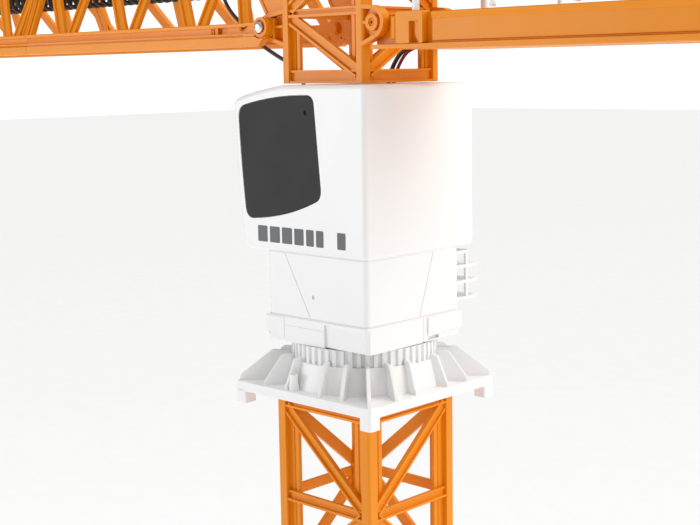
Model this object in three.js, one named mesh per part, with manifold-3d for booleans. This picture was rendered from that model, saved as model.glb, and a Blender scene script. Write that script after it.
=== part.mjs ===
// Toy tower crane, 1.28 m tall. Millimetres, +Z up, +X along the jib, +Y towards the cab's side window.
// The origin is the centre of the base frame's underside.
import * as THREE from 'three';
import { mergeVertices } from 'three/addons/utils/BufferGeometryUtils.js';
import Module from 'manifold-3d';

const wasm = await Module();
wasm.setup();

// ---- driving dimensions ----
const GAP = 0.3;                 // clearance kept between pieces that touch
const BASE_REACH = 150;          // arm end, measured along X and along Y
const HUB_TOP = 26;              // seat of the mast in the base frame
const HUB_HALF = 42;
const ARM_HALF = 12;
const ARM_TOP = 22;
const SOCKET_WALL = 5;
const SOCKET_HEIGHT = 12;
const BLOCK_HEIGHT = 25;         // ballast
const BLOCK_NEAR = 70;
const BLOCK_DEPTH = 40;
const BRACE_FOOT = 128;
const BRACE_TOP = 178;
const MAST_HALF = 30;
const SECTION_HEIGHT = 235;
const SECTION_COUNT = 4;
const SECTION_BAYS = 5;
const DIAGONAL_CLEAR = 4.6;      // a diagonal's end lies this far from its rail's middle
const BAY = 45.2;
const TURRET_HALF = 25.7;
const PLATE = 4.7;               // slew tray's plate
const MAST_FOOT = HUB_TOP + GAP;
const MAST_TOP = MAST_FOOT + SECTION_COUNT * SECTION_HEIGHT + (SECTION_COUNT - 1) * GAP;
const TRAY_TOP = MAST_TOP + GAP + PLATE;
const TRAY_HALF = 43.7;
const COLLAR_BORE = 33.3;
const COLLAR_FOOT = 38.5;
const COLLAR_HEIGHT = 19;
const BODY_HALF = 32.05;         // lower housing
const DECK_TOP = TRAY_TOP + 32.1;
const CAB_FLOOR = TRAY_TOP + 62;
const CAB_ROOF = TRAY_TOP + 139.5;
const CAB_LEFT = 32.3;           // the window side
const CAB_RIGHT = -43.5;
const TURRET_FOOT = TRAY_TOP + 140.4;
const TURRET_TOP = TRAY_TOP + 206;
const HEAD_TOP = TRAY_TOP + 312;
const PIVOT_Z = TRAY_TOP + 165.7;
const JIB_PIVOT_X = 36.1;
const COUNTER_PIVOT_X = -30;
const SCREW_BORE = 1.75;
const JIB_HALF = 29.7;           // outer face of the lower chords
const CHORD_LOW = TRAY_TOP + 157;
const CHORD_HIGH = TRAY_TOP + 168;
const JIB_CREST = TRAY_TOP + 213;
const JIB_CREST_HALF = 12;
const LEDGE = 2.2;               // the trolley's track inside the lower chords
const JIB_END = 620;
const TIE_POINTS = [205, 455];   // the jib ties' ears on the crest
const COUNTER_TIE_X = -151;
const COUNTER_EAR_Y = 4.1;
const HEAD_EYE_X = 13.6;
const HEAD_EYE_Z = HEAD_TOP - 9;
const EAR_HALF = 2;
const EAR_RISE = 4.5;
const PIN_BORE = 1.4;
const TIE_THICK = 3;
const JIB_SPLITS = [232, 426];
const NODE_FIRST = 83.4;         // first panel point of the near lower chord
const NODE_PITCH = 54.7;
const NODE_LEAN = 39;            // panel point of the crest chord, ahead of the lower one
const BRACE_SPREAD = 4.6;        // a brace's distance from its panel point
const COUNTER_END = -245;
const COUNTER_LOW = TRAY_TOP + 153.7;
const TROLLEY_X = 545;
const CORD_Z = TRAY_TOP + 188;
const CORD_RADIUS = 5.7;
const CORD_START = 104;
const LEAD_X = 37.5;             // the jib lead's hole in the cab roof
const WIRE_FOOT_X = -11;          // the battery wires' holes in the cab roof
const WIRE_SIDES = [-6.6, -10.4];
const WIRE_SPREAD = 2;           // half the wires' distance from each other on the counter-jib
const CABLE_HOLE = 1.6;
const GEAR_MODULE = 1.5;
const RING_TEETH = 32;
const PINION_TEETH = 8;
const TOOTH_RISE = 1.2;          // tooth height beyond the pitch circle
const PINION_Y = GEAR_MODULE * (RING_TEETH - PINION_TEETH) / 2;
const SHEAVE_RADIUS = 8;
const SHEAVE_Z = 88;
const ROPE_RADIUS = 0.6;

// ---- materials ----
const paint = (color, roughness, metalness = 0) =>
  new THREE.MeshStandardMaterial({ color, roughness, metalness });
const ORANGE = paint(0xe8891a, 0.45);
const WHITE = paint(0xeeeeec, 0.4);
const SMOKE = paint(0x44464a, 0.35);
const CONCRETE = paint(0x9a9a96, 0.8);
const BLACK = paint(0x151515, 0.55);
const RED = paint(0x8f1420, 0.5);
const STEEL = paint(0xc8c8c8, 0.3, 1);
const GREEN = paint(0x1f6b3a, 0.5);
const NATURAL = paint(0xd8d5c8, 0.5);
const BLUE = paint(0x2a4fa0, 0.5);

// ---- shape helpers ----
function solid(geometry) {
  const bare = new THREE.BufferGeometry();
  const source = geometry.index ? geometry : mergeVertices(geometry);
  bare.setAttribute('position', source.getAttribute('position').clone());
  bare.setIndex(source.index.clone());
  const merged = mergeVertices(bare, 1e-4);
  const vertProperties = new Float32Array(merged.getAttribute('position').array);
  const triVerts = new Uint32Array(merged.index.array);
  return new wasm.Manifold(new wasm.Mesh({ numProp: 3, vertProperties, triVerts }));
}

function geometryOf(manifold) {
  const mesh = manifold.getMesh();
  const geometry = new THREE.BufferGeometry();
  geometry.setAttribute('position', new THREE.BufferAttribute(mesh.vertProperties, 3));
  geometry.setIndex(new THREE.BufferAttribute(mesh.triVerts, 1));
  geometry.computeVertexNormals();
  return geometry;
}

const join = (parts) => parts.reduce((sum, next) => sum.add(next));
const cut = (body, tools) => tools.reduce((left, tool) => left.subtract(tool), body);

function box([x0, x1], [y0, y1], [z0, z1]) {
  const geometry = new THREE.BoxGeometry(x1 - x0, y1 - y0, z1 - z0);
  geometry.translate((x0 + x1) / 2, (y0 + y1) / 2, (z0 + z1) / 2);
  return solid(geometry);
}

// A round bar from one point to another.
function rod(from, to, radius, sides = 16) {
  const a = new THREE.Vector3(...from);
  const b = new THREE.Vector3(...to);
  const along = b.clone().sub(a);
  const geometry = new THREE.CylinderGeometry(radius, radius, along.length(), sides);
  const turn = new THREE.Quaternion().setFromUnitVectors(new THREE.Vector3(0, 1, 0), along.normalize());
  geometry.applyQuaternion(turn);
  geometry.translate((a.x + b.x) / 2, (a.y + b.y) / 2, (a.z + b.z) / 2);
  return solid(geometry);
}

// A flat bar from one point to another: wide in the plane square to `normal`, thick along it.
function bar(from, to, width, thick, normal) {
  const a = new THREE.Vector3(...from);
  const b = new THREE.Vector3(...to);
  const along = b.clone().sub(a);
  const length = along.length();
  along.normalize();
  const side = new THREE.Vector3(...normal).cross(along).normalize();
  const out = along.clone().cross(side);
  const geometry = new THREE.BoxGeometry(length, width, thick);
  geometry.applyMatrix4(new THREE.Matrix4().makeBasis(along, side, out));
  geometry.translate((a.x + b.x) / 2, (a.y + b.y) / 2, (a.z + b.z) / 2);
  return solid(geometry);
}

// An outline in the XZ plane, extruded from y0 to y1.
function slab(points, y0, y1) {
  const shape = Array.isArray(points) ? new THREE.Shape(points.map((p) => new THREE.Vector2(...p))) : points;
  const depth = y1 - y0;
  const geometry = new THREE.ExtrudeGeometry(shape, { depth, bevelEnabled: false, curveSegments: 4 });
  geometry.rotateX(Math.PI / 2);
  geometry.translate(0, y1, 0);
  return solid(geometry);
}

function lathe(profile, segments = 40) {
  const points = profile.map((p) => new THREE.Vector2(...p));
  return solid(new THREE.LatheGeometry([...points, points[0]], segments).rotateX(Math.PI / 2));
}

// A tube along a hand-routed curve.
function tube(points, radius, steps, sides = 8) {
  const section = new THREE.Shape();
  for (let i = 0; i < sides; i++) {
    const angle = (i * 2 * Math.PI) / sides;
    const place = [radius * Math.cos(angle), radius * Math.sin(angle)];
    if (i === 0) section.moveTo(...place);
    else section.lineTo(...place);
  }
  const path = new THREE.CatmullRomCurve3(points.map((p) => new THREE.Vector3(...p)));
  return solid(new THREE.ExtrudeGeometry(section, { steps, extrudePath: path, bevelEnabled: false }));
}

// A solid moved by a matrix. A mirrored one has its triangles turned round, so that they face outwards.
function placed(body, matrix) {
  const mesh = body.getMesh();
  const positions = new THREE.BufferAttribute(mesh.vertProperties, 3).applyMatrix4(matrix);
  const triVerts = mesh.triVerts;
  if (matrix.determinant() < 0) {
    for (let i = 0; i < triVerts.length; i += 3) {
      const first = triVerts[i];
      triVerts[i] = triVerts[i + 1];
      triVerts[i + 1] = first;
    }
  }
  return new wasm.Manifold(new wasm.Mesh({ numProp: 3, vertProperties: positions.array, triVerts }));
}

const turned = (body, degrees) => placed(body, new THREE.Matrix4().makeRotationZ((degrees * Math.PI) / 180));
const spun = (body, quarter) => turned(body, 90 * quarter);
const moved = (body, x, y, z) => placed(body, new THREE.Matrix4().makeTranslation(x, y, z));
const flipY = (body) => placed(body, new THREE.Matrix4().makeScale(1, -1, 1));

function add(group, name, body, material) {
  const mesh = new THREE.Mesh(geometryOf(body), material);
  mesh.name = name;
  group.add(mesh);
}

// ---- square lattice, used by the mast and the turret ----
// Faces follow each other round the corners; neighbours mirror each other, so the zigzags meet there.
// Rails and diagonals sit a little inside the posts' flanges.
const FLANGE_INSET = 0.3;

function latticeFace(half, post, thick, rails, bays, diagonal, leansLeft) {
  const reach = half - post / 2;
  const depth = [half - thick + FLANGE_INSET, half - FLANGE_INSET];
  const parts = rails.map((levels) => box([-reach, reach], depth, levels));
  bays.forEach(([low, high], i) => {
    const side = (i % 2 === 0) === leansLeft ? 1 : -1;
    const middle = half - thick / 2;
    const from = [-side * reach, middle, low + DIAGONAL_CLEAR];
    const to = [side * reach, middle, high - DIAGONAL_CLEAR];
    parts.push(bar(from, to, diagonal, thick - 2 * FLANGE_INSET, [0, 1, 0]));
  });
  return join(parts);
}

function cornerPost(half, post, thick, low, high) {
  return join([
    box([half - post, half], [half - thick, half], [low, high]),
    box([half - thick, half], [half - post, half], [low, high]),
  ]);
}

function lattice({ half, post, thick, low, high, rails, bays, diagonal }) {
  const parts = [];
  for (let quarter = 0; quarter < 4; quarter++) {
    parts.push(spun(cornerPost(half, post, thick, low, high), quarter));
    parts.push(spun(latticeFace(half, post, thick, rails, bays, diagonal, quarter % 2 === 0), quarter));
  }
  return join(parts);
}

// ---- base ----
function baseFrame() {
  const reach = BASE_REACH * Math.SQRT2;
  const arm = box([-reach, reach], [-ARM_HALF, ARM_HALF], [0, ARM_TOP]);
  const pocket = box([56, reach - 3], [-ARM_HALF + 2.5, ARM_HALF - 2.5], [-1, ARM_TOP - 2.5]);
  const parts = [0, 1].map((i) => turned(arm, 45 + 90 * i));
  parts.push(box([-HUB_HALF, HUB_HALF], [-HUB_HALF, HUB_HALF], [0, HUB_TOP]));
  const outer = MAST_HALF + SOCKET_WALL;
  const inner = MAST_HALF + GAP;
  const collar = cut(
    box([-outer, outer], [-outer, outer], [HUB_TOP - 1, HUB_TOP + SOCKET_HEIGHT]),
    [box([-inner, inner], [-inner, inner], [HUB_TOP, HUB_TOP + SOCKET_HEIGHT + 1])],
  );
  const pockets = [0, 1, 2, 3].map((i) => turned(pocket, 45 + 90 * i));
  return cut(join([...parts, collar]), pockets);
}

function ballastBlock(quarter) {
  const upper = quarter % 2 === 1;
  const low = ARM_TOP + GAP + (upper ? BLOCK_HEIGHT + GAP : 0);
  const near = upper ? BLOCK_NEAR - 10 : BLOCK_NEAR;
  const halfLength = upper ? 88 : 100;
  return spun(box([near, near + BLOCK_DEPTH], [-halfLength, halfLength], [low, low + BLOCK_HEIGHT]), quarter);
}

function baseBrace(quarter) {
  const head = MAST_HALF + 4.6;
  const inner = MAST_HALF + GAP;
  const strut = bar([BRACE_FOOT, BRACE_FOOT, ARM_TOP + 4.5], [head, head, BRACE_TOP], 7, 7, [1, -1, 0]);
  const pad = turned(box([-9, 9], [-6, 6], [ARM_TOP + GAP, ARM_TOP + 6]), 45);
  const shoe = moved(pad, BRACE_FOOT, BRACE_FOOT, 0);
  const clip = cut(
    box([MAST_HALF - 9, head + 1], [MAST_HALF - 9, head + 1], [BRACE_TOP - 10, BRACE_TOP + 6]),
    [box([0, inner], [0, inner], [BRACE_TOP - 18, BRACE_TOP + 12])],
  );
  return spun(join([strut, shoe, clip]), quarter);
}

// ---- mast ----
function mastSection(index) {
  const low = MAST_FOOT + index * (SECTION_HEIGHT + GAP);
  const high = low + SECTION_HEIGHT;
  const rails = [[high - 8, high - 4.6]];
  const bays = [];
  for (let i = 1; i <= SECTION_BAYS; i++) {
    const middle = high - 6.3 - BAY * i;
    rails.push([middle - 2.7, middle + 2.7]);
    bays.push([middle, middle + BAY]);
  }
  return lattice({ half: MAST_HALF, post: 11.6, thick: 3, low, high, rails, bays, diagonal: 5.6 });
}

// ---- slew tray and gears ----
const GUSSET_HEIGHT = 14.5;
const GUSSET_THICK = 1.6;
const GUSSETS_ALONG = [-24.9, -10.3, 10.3, 24.9];
function gusset(along, outer, inner) {
  const z = TRAY_TOP;
  const top = z + GUSSET_HEIGHT;
  const outline = [[inner, z - 1], [outer, z - 1], [outer, z + 3.7], [inner + 3.2, top], [inner, top]];
  return slab(outline, along - GUSSET_THICK / 2, along + GUSSET_THICK / 2);
}

// An L-shaped foot under a corner of the tray.
function trayFoot() {
  const wall = 2.4;
  const leg = 7;
  const levels = [TRAY_TOP - 10.3, TRAY_TOP - PLATE + 1];
  return join([
    box([TRAY_HALF - leg, TRAY_HALF], [TRAY_HALF - wall, TRAY_HALF], levels),
    box([TRAY_HALF - wall, TRAY_HALF], [TRAY_HALF - leg, TRAY_HALF], levels),
  ]);
}

function slewTray() {
  const z = TRAY_TOP;
  const low = z - PLATE;
  const collar = [
    [COLLAR_BORE, z - 1], [COLLAR_FOOT, z - 1], [COLLAR_FOOT, z], [COLLAR_BORE + 2.1, z + 12.4],
    [COLLAR_BORE + 2, z + COLLAR_HEIGHT], [COLLAR_BORE, z + COLLAR_HEIGHT],
  ];
  const parts = [box([-TRAY_HALF, TRAY_HALF], [-TRAY_HALF, TRAY_HALF], [low, z]), lathe(collar, 32)];
  for (let quarter = 0; quarter < 4; quarter++) {
    for (const along of GUSSETS_ALONG) {
      const inner = Math.sqrt(35 * 35 - along * along);
      parts.push(spun(gusset(along, TRAY_HALF - 1.2, inner), quarter));
    }
    const corner = (TRAY_HALF - 1.5) * Math.SQRT2;
    parts.push(turned(gusset(0, corner, 35), 45 + 90 * quarter));
    parts.push(spun(trayFoot(), quarter));
  }
  const rim = cut(
    box([-26.4, 26.4], [-26.4, 26.4], [low - 6, low + 1]),
    [box([-24, 24], [-24, 24], [low - 7, low])],
  );
  return cut(join([...parts, rim]), [rod([0, 0, low - 8], [0, 0, z + 1], 9, 32)]);
}

// A toothed outline: tooth centres at phase + i * pitch; widths are angles at the tip and at the root.
function toothedShape(teeth, rootRadius, tipRadius, rootPart, tipPart, phase) {
  const shape = new THREE.Shape();
  const pitch = (2 * Math.PI) / teeth;
  for (let i = 0; i < teeth; i++) {
    const centre = phase + i * pitch;
    const corners = [
      [rootRadius, centre - (pitch * rootPart) / 2],
      [tipRadius, centre - (pitch * tipPart) / 2],
      [tipRadius, centre + (pitch * tipPart) / 2],
      [rootRadius, centre + (pitch * rootPart) / 2],
    ];
    corners.forEach(([radius, angle], j) => {
      const place = [radius * Math.cos(angle), radius * Math.sin(angle)];
      if (i === 0 && j === 0) shape.moveTo(...place);
      else shape.lineTo(...place);
    });
  }
  return shape;
}

function upright(shape, low, high) {
  const geometry = new THREE.ExtrudeGeometry(shape, { depth: high - low, bevelEnabled: false });
  return solid(geometry.translate(0, 0, low));
}

function ringGear() {
  const pitchRadius = (GEAR_MODULE * RING_TEETH) / 2;
  const blank = rod([0, 0, TRAY_TOP + GAP], [0, 0, TRAY_TOP + 9], COLLAR_BORE - GAP, 48);
  const phase = Math.PI / 2 + Math.PI / RING_TEETH;
  const bore = toothedShape(RING_TEETH, pitchRadius + 1.9, pitchRadius - TOOTH_RISE, 0.7, 0.3, phase);
  return cut(blank, [upright(bore, TRAY_TOP - 1, TRAY_TOP + 10)]);
}

function slewPinion() {
  const pitchRadius = (GEAR_MODULE * PINION_TEETH) / 2;
  const tip = pitchRadius + TOOTH_RISE;
  const shape = toothedShape(PINION_TEETH, pitchRadius - 1.6, tip, 0.56, 0.2, Math.PI / 2);
  const gear = upright(shape, TRAY_TOP + 1, TRAY_TOP + 8.4);
  return moved(join([gear, rod([0, 0, TRAY_TOP + 8], [0, 0, DECK_TOP + 3], 1.6, 12)]), 0, PINION_Y, 0);
}

// ---- slewing housing ----
function slewFrame() {
  const half = 32.7;
  const skirt = cut(
    box([-half, half], [-half, half], [TRAY_TOP + 20, DECK_TOP]),
    [box([-half + 2.6, half - 2.6], [-half + 2.6, half - 2.6], [TRAY_TOP + 19, DECK_TOP - 2.7])],
  );
  const spigot = rod([0, 0, TRAY_TOP - 7.5], [0, 0, DECK_TOP - 1], 8.6, 32);
  const bores = [
    rod([0, 0, TRAY_TOP - 9], [0, 0, DECK_TOP + 1], 5.5, 24),
    rod([0, PINION_Y, DECK_TOP - 4], [0, PINION_Y, DECK_TOP + 1], 2.2, 16),
  ];
  return cut(join([skirt, spigot]), bores);
}

function slewRetainer() {
  const z = TRAY_TOP - 7.5 - GAP;
  return lathe([[2, z - 2.6], [14, z - 2.6], [14, z], [2, z]], 24);
}

function slewMotor() {
  const z = DECK_TOP + GAP;
  const body = join([
    rod([0, PINION_Y, z + 4], [0, PINION_Y, z + 24], 10, 18),
    box([-9, 9], [PINION_Y - 9, PINION_Y + 9], [z, z + 8]),
  ]);
  return cut(body, [rod([0, PINION_Y, z - 1], [0, PINION_Y, z + 5], 2.2, 16)]);
}

const SWITCH_Z = TRAY_TOP + 46;

function lowerHousing() {
  const inner = BODY_HALF - 2;
  const low = DECK_TOP + GAP;
  const body = cut(
    box([-BODY_HALF, BODY_HALF], [-BODY_HALF, BODY_HALF], [low, CAB_FLOOR - GAP]),
    [box([-inner, inner], [-inner, inner], [low - 1, CAB_FLOOR + 1])],
  );
  return cut(body, [box([inner - 1, BODY_HALF + 1], [-6, 6], [SWITCH_Z - 2, SWITCH_Z + 2])]);
}

function powerSwitch() {
  const cap = box([BODY_HALF - 3, BODY_HALF + 1.6], [-5.4, -1.4], [SWITCH_Z - 1.6, SWITCH_Z + 1.6]);
  return join([cap, box([BODY_HALF - 5, BODY_HALF - 2.4], [-7, 0.2], [SWITCH_Z - 3, SWITCH_Z + 3])]);
}

// The cab's outline seen from the window side. `inset` draws the hollow.
function cabOutline(inset) {
  const z = TRAY_TOP;
  const shape = new THREE.Shape();
  const rear = -32.2 + inset;
  const low = z + 62 + inset;
  shape.moveTo(rear, low);
  shape.lineTo(43 - inset, low);
  shape.quadraticCurveTo(48.3 - inset, low + 0.5, 49 - inset, z + 67.5 + inset);
  shape.quadraticCurveTo(52.4 - inset, z + 98, 53.6 - inset, z + 129.5 - inset);
  shape.quadraticCurveTo(53.6 - inset, z + 133.6 - inset, 47.5 - inset, z + 134.6 - inset);
  shape.quadraticCurveTo(36, z + 137.6 - inset, 20, z + 139.5 - inset);
  shape.lineTo(rear, z + 139.5 - inset);
  shape.closePath();
  return shape;
}

// The side window: arched top and bottom, rounded corners. `grow` draws its seat.
function windowOutline(grow) {
  const z = TRAY_TOP;
  const g = grow;
  const shape = new THREE.Shape();
  shape.moveTo(-3.2 - g, z + 95);
  shape.quadraticCurveTo(-3.4 - g, z + 88.4 - g, 3, z + 86 - g);
  shape.quadraticCurveTo(20, z + 78.9 - g, 40, z + 77.5 - g);
  shape.quadraticCurveTo(45.6 + g, z + 77.2 - g, 46.4 + g, z + 83);
  shape.quadraticCurveTo(48.6 + g, z + 104, 49.3 + g, z + 123);
  shape.quadraticCurveTo(49.4 + g, z + 129.6 + g, 44, z + 130.9 + g);
  shape.quadraticCurveTo(24, z + 134.6 + g, 4, z + 134.8 + g);
  shape.quadraticCurveTo(-1.6 - g, z + 134.6 + g, -1.9 - g, z + 129);
  shape.quadraticCurveTo(-2.4 - g, z + 112, -3.2 - g, z + 95);
  return shape;
}

// The front window follows the leaning front of the cab.
function frontPane(grow, depth) {
  const low = TRAY_TOP + 84 - grow;
  const high = TRAY_TOP + 127 + grow;
  const outline = [[51 - depth, low], [56, low], [58, high], [53.3 - depth, high]];
  return slab(outline, -34 - grow, 22 + grow);
}

function cabBlock(inset) {
  return slab(cabOutline(inset), CAB_RIGHT + inset, CAB_LEFT - inset);
}

function cabShell() {
  const wall = 2.4;
  const half = BODY_HALF - 2;
  const below = box([-half, half], [-half, half], [CAB_FLOOR - 1, CAB_FLOOR + 6]);
  const leadHole = rod([LEAD_X, 0, CAB_ROOF - 11.5], [LEAD_X + 1, 0, CAB_ROOF + 4.5], CABLE_HOLE, 12);
  const wireHoles = WIRE_SIDES.map((y) =>
    rod([WIRE_FOOT_X, y, CAB_ROOF - 8], [WIRE_FOOT_X, y, CAB_ROOF + 2], CABLE_HOLE, 12));
  const body = cut(cabBlock(0), [cabBlock(wall), below, leadHole, ...wireHoles]);
  const seat = slab(windowOutline(GAP), CAB_LEFT - 1.5, CAB_LEFT + 1);
  const frontSeat = frontPane(GAP, 1.8).intersect(cabBlock(-3));
  return cut(body, [seat, frontSeat]);
}

const sideWindow = () => slab(windowOutline(0), CAB_LEFT - 1.2, CAB_LEFT - 0.2);

const frontWindow = () => frontPane(0, 1.5).intersect(cabBlock(0.2));

function receiverBoard() {
  const z = TRAY_TOP + 74;
  return join([
    box([-20, 26], [-12, -10.4], [z, z + 36]),
    box([-10, 2], [-10.5, -8.6], [z + 8, z + 20]),
    box([8, 20], [-10.5, -6], [z + 20, z + 30]),
    box([-16, -8], [-10.5, -4], [z + 24, z + 33]),
  ]);
}

function sideLadder() {
  const steps = [[59, -42], [52, -49], [44.5, -49], [36.5, -49]];
  const thick = 0.8;
  const parts = steps.map(([rise, end]) => {
    const z = TRAY_TOP + rise;
    return box([-30, -14], [end, -BODY_HALF - GAP], [z - thick, z + thick]);
  });
  for (const x of [-29, -15]) {
    parts.push(box([x - thick, x + thick], [-41.8, -40.2], [TRAY_TOP + 35.7, TRAY_TOP + 59.8]));
  }
  return join(parts);
}

// ---- turret and head ----
function lugPlate(pivotX, eyeRadius, postX, low, high, y0, y1) {
  const z = PIVOT_Z;
  const toward = Math.sign(pivotX);
  const plate = slab([
    [postX, low], [pivotX, z - eyeRadius], [pivotX, z + eyeRadius], [postX, high],
  ], y0, y1);
  const boss = rod([pivotX, y0, z], [pivotX, y1, z], eyeRadius, 18);
  const outer = Math.abs(pivotX) - eyeRadius - 0.5;
  const near = toward * (TURRET_HALF + 1.8);
  const far = toward * outer;
  const rib = 0.9;
  const layer = [y0 - 1, y1 + 1];
  const pocketLow = slab([[near, low + 3], [far, z - 4], [far, z - rib], [near, z - rib]], ...layer);
  const pocketHigh = slab([[near, z + rib], [far, z + rib], [far, z + 3.4], [near, high - 3]], ...layer);
  const bore = rod([pivotX, y0 - 1, z], [pivotX, y1 + 1, z], SCREW_BORE, 12);
  return cut(join([plate, boss]), outer > 28.5 ? [pocketLow, pocketHigh, bore] : [bore]);
}

function turretFrame() {
  const z = TRAY_TOP;
  const half = TURRET_HALF;
  const frame = lattice({
    half,
    post: 9.2,
    thick: 2.8,
    low: TURRET_FOOT,
    high: TURRET_TOP,
    rails: [[TURRET_FOOT, z + 146], [z + 169.8, z + 173.5], [z + 202, TURRET_TOP]],
    bays: [[z + 143.4, z + 171.6], [z + 171.6, z + 204]],
    diagonal: 5.6,
  });
  const front = lugPlate(JIB_PIVOT_X, 5.4, half - 3, z + 157, z + 173, half - 4.4, half);
  const rear = lugPlate(COUNTER_PIVOT_X, 6.4, -half + 3, z + 157.6, z + 173.5, half - 4.4, half);
  const root = half - 2;
  const webOutline = [[root, z + 172], [37, z + 171], [42, z + 184], [40, z + 190], [root, TURRET_TOP - 1]];
  const web = slab(webOutline, half - 3.6, half - 1.6);
  const sides = [front, rear, web];
  return join([frame, ...sides, ...sides.map(flipY)]);
}

function towerHead() {
  const low = TURRET_TOP + GAP;
  const crown = HEAD_TOP - 16;
  const foot = TURRET_HALF - 3;
  const peak = 5.5;
  const legAt = (z) => foot + (peak - foot) * ((z - low) / (crown - low));
  const parts = [footRing(low), box([-9, 9], [-9, 9], [crown, HEAD_TOP - 2])];
  for (let quarter = 0; quarter < 4; quarter++) {
    const leg = bar([foot, foot, low], [peak, peak, crown + 4], 6, 6, [1, -1, 0]);
    parts.push(spun(cut(leg, [box([-40, 40], [-40, 40], [low - 10, low])]), quarter));
    for (const rise of [3, 37.5, 67.5]) {
      const z = low + rise;
      const reach = legAt(z - 1.5);
      parts.push(spun(bar([-reach, reach, z], [reach, reach, z], 6, 3, [0, 0, 1]), quarter));
    }
  }
  parts.push(box([-6, 6], [-6, 6], [HEAD_TOP - 3, HEAD_TOP]), ...headEars());
  const bores = [1, -1].map((end) => {
    const x = end * HEAD_EYE_X;
    return rod([x, -9.5, HEAD_EYE_Z], [x, 9.5, HEAD_EYE_Z], PIN_BORE, 12);
  });
  return cut(join(parts), bores);
}

// The flat ring that the head stands on.
function footRing(low) {
  const half = TURRET_HALF;
  const inner = half - 6;
  const plate = box([-half, half], [-half, half], [low, low + 4]);
  return cut(plate, [box([-inner, inner], [-inner, inner], [low - 1, low + 5])]);
}

// One ear in front for the jib ties, and two behind for the counter-jib ties.
function headEars() {
  const end = HEAD_EYE_X + 4.5;
  const levels = [HEAD_EYE_Z - 4.5, HEAD_EYE_Z + 4.5];
  const behind = [1, -1].map((side) => {
    const y = side * COUNTER_EAR_Y;
    return box([-end, -8], [y - EAR_HALF, y + EAR_HALF], levels);
  });
  return [box([8, end], [-EAR_HALF, EAR_HALF], levels), ...behind];
}

// ---- jib ----
const LEAN = (JIB_HALF - JIB_CREST_HALF) / (JIB_CREST - CHORD_HIGH);

function jibSidePoint(x, z, side) {
  const depth = 1.6;
  return [x, side * (JIB_HALF - depth - LEAN * Math.max(0, z - CHORD_HIGH)), z];
}

function jibBraces(side) {
  const normal = [0, side, LEAN];
  const start = NODE_FIRST + (side > 0 ? 0 : NODE_PITCH / 2);
  const brace = (x, end) =>
    bar(jibSidePoint(x, CHORD_HIGH - 2, side), jibSidePoint(end, JIB_CREST - 4, side), 6, 2.4, normal);
  const parts = [];
  for (let x = start; x < JIB_END - 14; x += NODE_PITCH) {
    parts.push(brace(x - BRACE_SPREAD, x - (NODE_PITCH - NODE_LEAN) + BRACE_SPREAD));
    if (x + NODE_LEAN < JIB_END - 12) parts.push(brace(x + BRACE_SPREAD, x + NODE_LEAN - BRACE_SPREAD));
  }
  return parts;
}

function jibEndFrame(x, thick) {
  const posts = [1, -1].map((side) => {
    const foot = jibSidePoint(x, CHORD_HIGH - 1.5, side);
    return bar(foot, jibSidePoint(x, JIB_CREST - 2, side), thick, 3, [0, side, LEAN]);
  });
  const half = thick / 2;
  const top = box([x - half, x + half], [-JIB_CREST_HALF, JIB_CREST_HALF], [JIB_CREST - 5, JIB_CREST]);
  return join([...posts, top]);
}

function lowerChord() {
  const inner = JIB_HALF - 3.8;
  const web = box([JIB_PIVOT_X, JIB_END], [inner, JIB_HALF], [CHORD_LOW, CHORD_HIGH]);
  const ledge = box([52, JIB_END], [20.6, inner + 1], [CHORD_LOW, CHORD_LOW + LEDGE]);
  const eye = rod([JIB_PIVOT_X, inner, PIVOT_Z], [JIB_PIVOT_X, JIB_HALF, PIVOT_Z], 4.6, 18);
  const x = JIB_PIVOT_X;
  const outline = [[x - 3, PIVOT_Z - 6], [x + 1, CHORD_LOW], [x + 6, CHORD_LOW], [x + 6, PIVOT_Z]];
  const heel = slab(outline, inner, JIB_HALF);
  const cuts = [
    rod([JIB_PIVOT_X, inner - 1, PIVOT_Z], [JIB_PIVOT_X, JIB_HALF + 1, PIVOT_Z], SCREW_BORE, 12),
    box([60.7, 67.4], [inner - 1, JIB_HALF + 1], [CHORD_LOW + 6, CHORD_LOW + 9.4]),
  ];
  return cut(join([web, ledge, eye, heel]), cuts);
}

function jibWhole() {
  const crestStart = 66;
  const parts = [lowerChord(), flipY(lowerChord())];
  parts.push(box([crestStart, JIB_END - 6], [-JIB_CREST_HALF, JIB_CREST_HALF], [JIB_CREST - 2.6, JIB_CREST]));
  for (const side of [1, -1]) {
    const rail = [side * (JIB_CREST_HALF - 3), side * JIB_CREST_HALF].sort((a, b) => a - b);
    parts.push(box([crestStart, JIB_END - 6], rail, [JIB_CREST - 8, JIB_CREST]));
    parts.push(...jibBraces(side));
    const root = jibSidePoint(crestStart + 2, JIB_CREST - 3, side);
    parts.push(bar(jibSidePoint(47, CHORD_HIGH - 3, side), root, 6.6, 2.8, [0, side, LEAN]));
  }
  for (const x of JIB_SPLITS) {
    parts.push(jibEndFrame(x - 2.5, 4.4), jibEndFrame(x + 2.5, 4.4));
  }
  parts.push(jibEndFrame(JIB_END - 8, 5));
  parts.push(box([JIB_END - 3.4, JIB_END], [-JIB_HALF, JIB_HALF], [CHORD_LOW, CHORD_HIGH]));
  parts.push(box([CORD_START - 3.4, CORD_START - 0.6], [-22.5, 22.5], [CORD_Z - 3, CORD_Z + 3]));
  for (const x of TIE_POINTS) parts.push(tieEar(x, JIB_CREST));
  return cut(join(parts), [rod([CORD_START - 5, 0, CORD_Z], [CORD_START + 1, 0, CORD_Z], 1.5, 12)]);
}

// An upright ear with a hole, standing on a surface at height z.
function tieEar(x, z, y = 0) {
  const ear = box([x - 5, x + 5], [y - EAR_HALF, y + EAR_HALF], [z - 2, z + 8]);
  return cut(ear, [rod([x, y - 3, z + EAR_RISE], [x, y + 3, z + EAR_RISE], PIN_BORE, 12)]);
}

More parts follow.
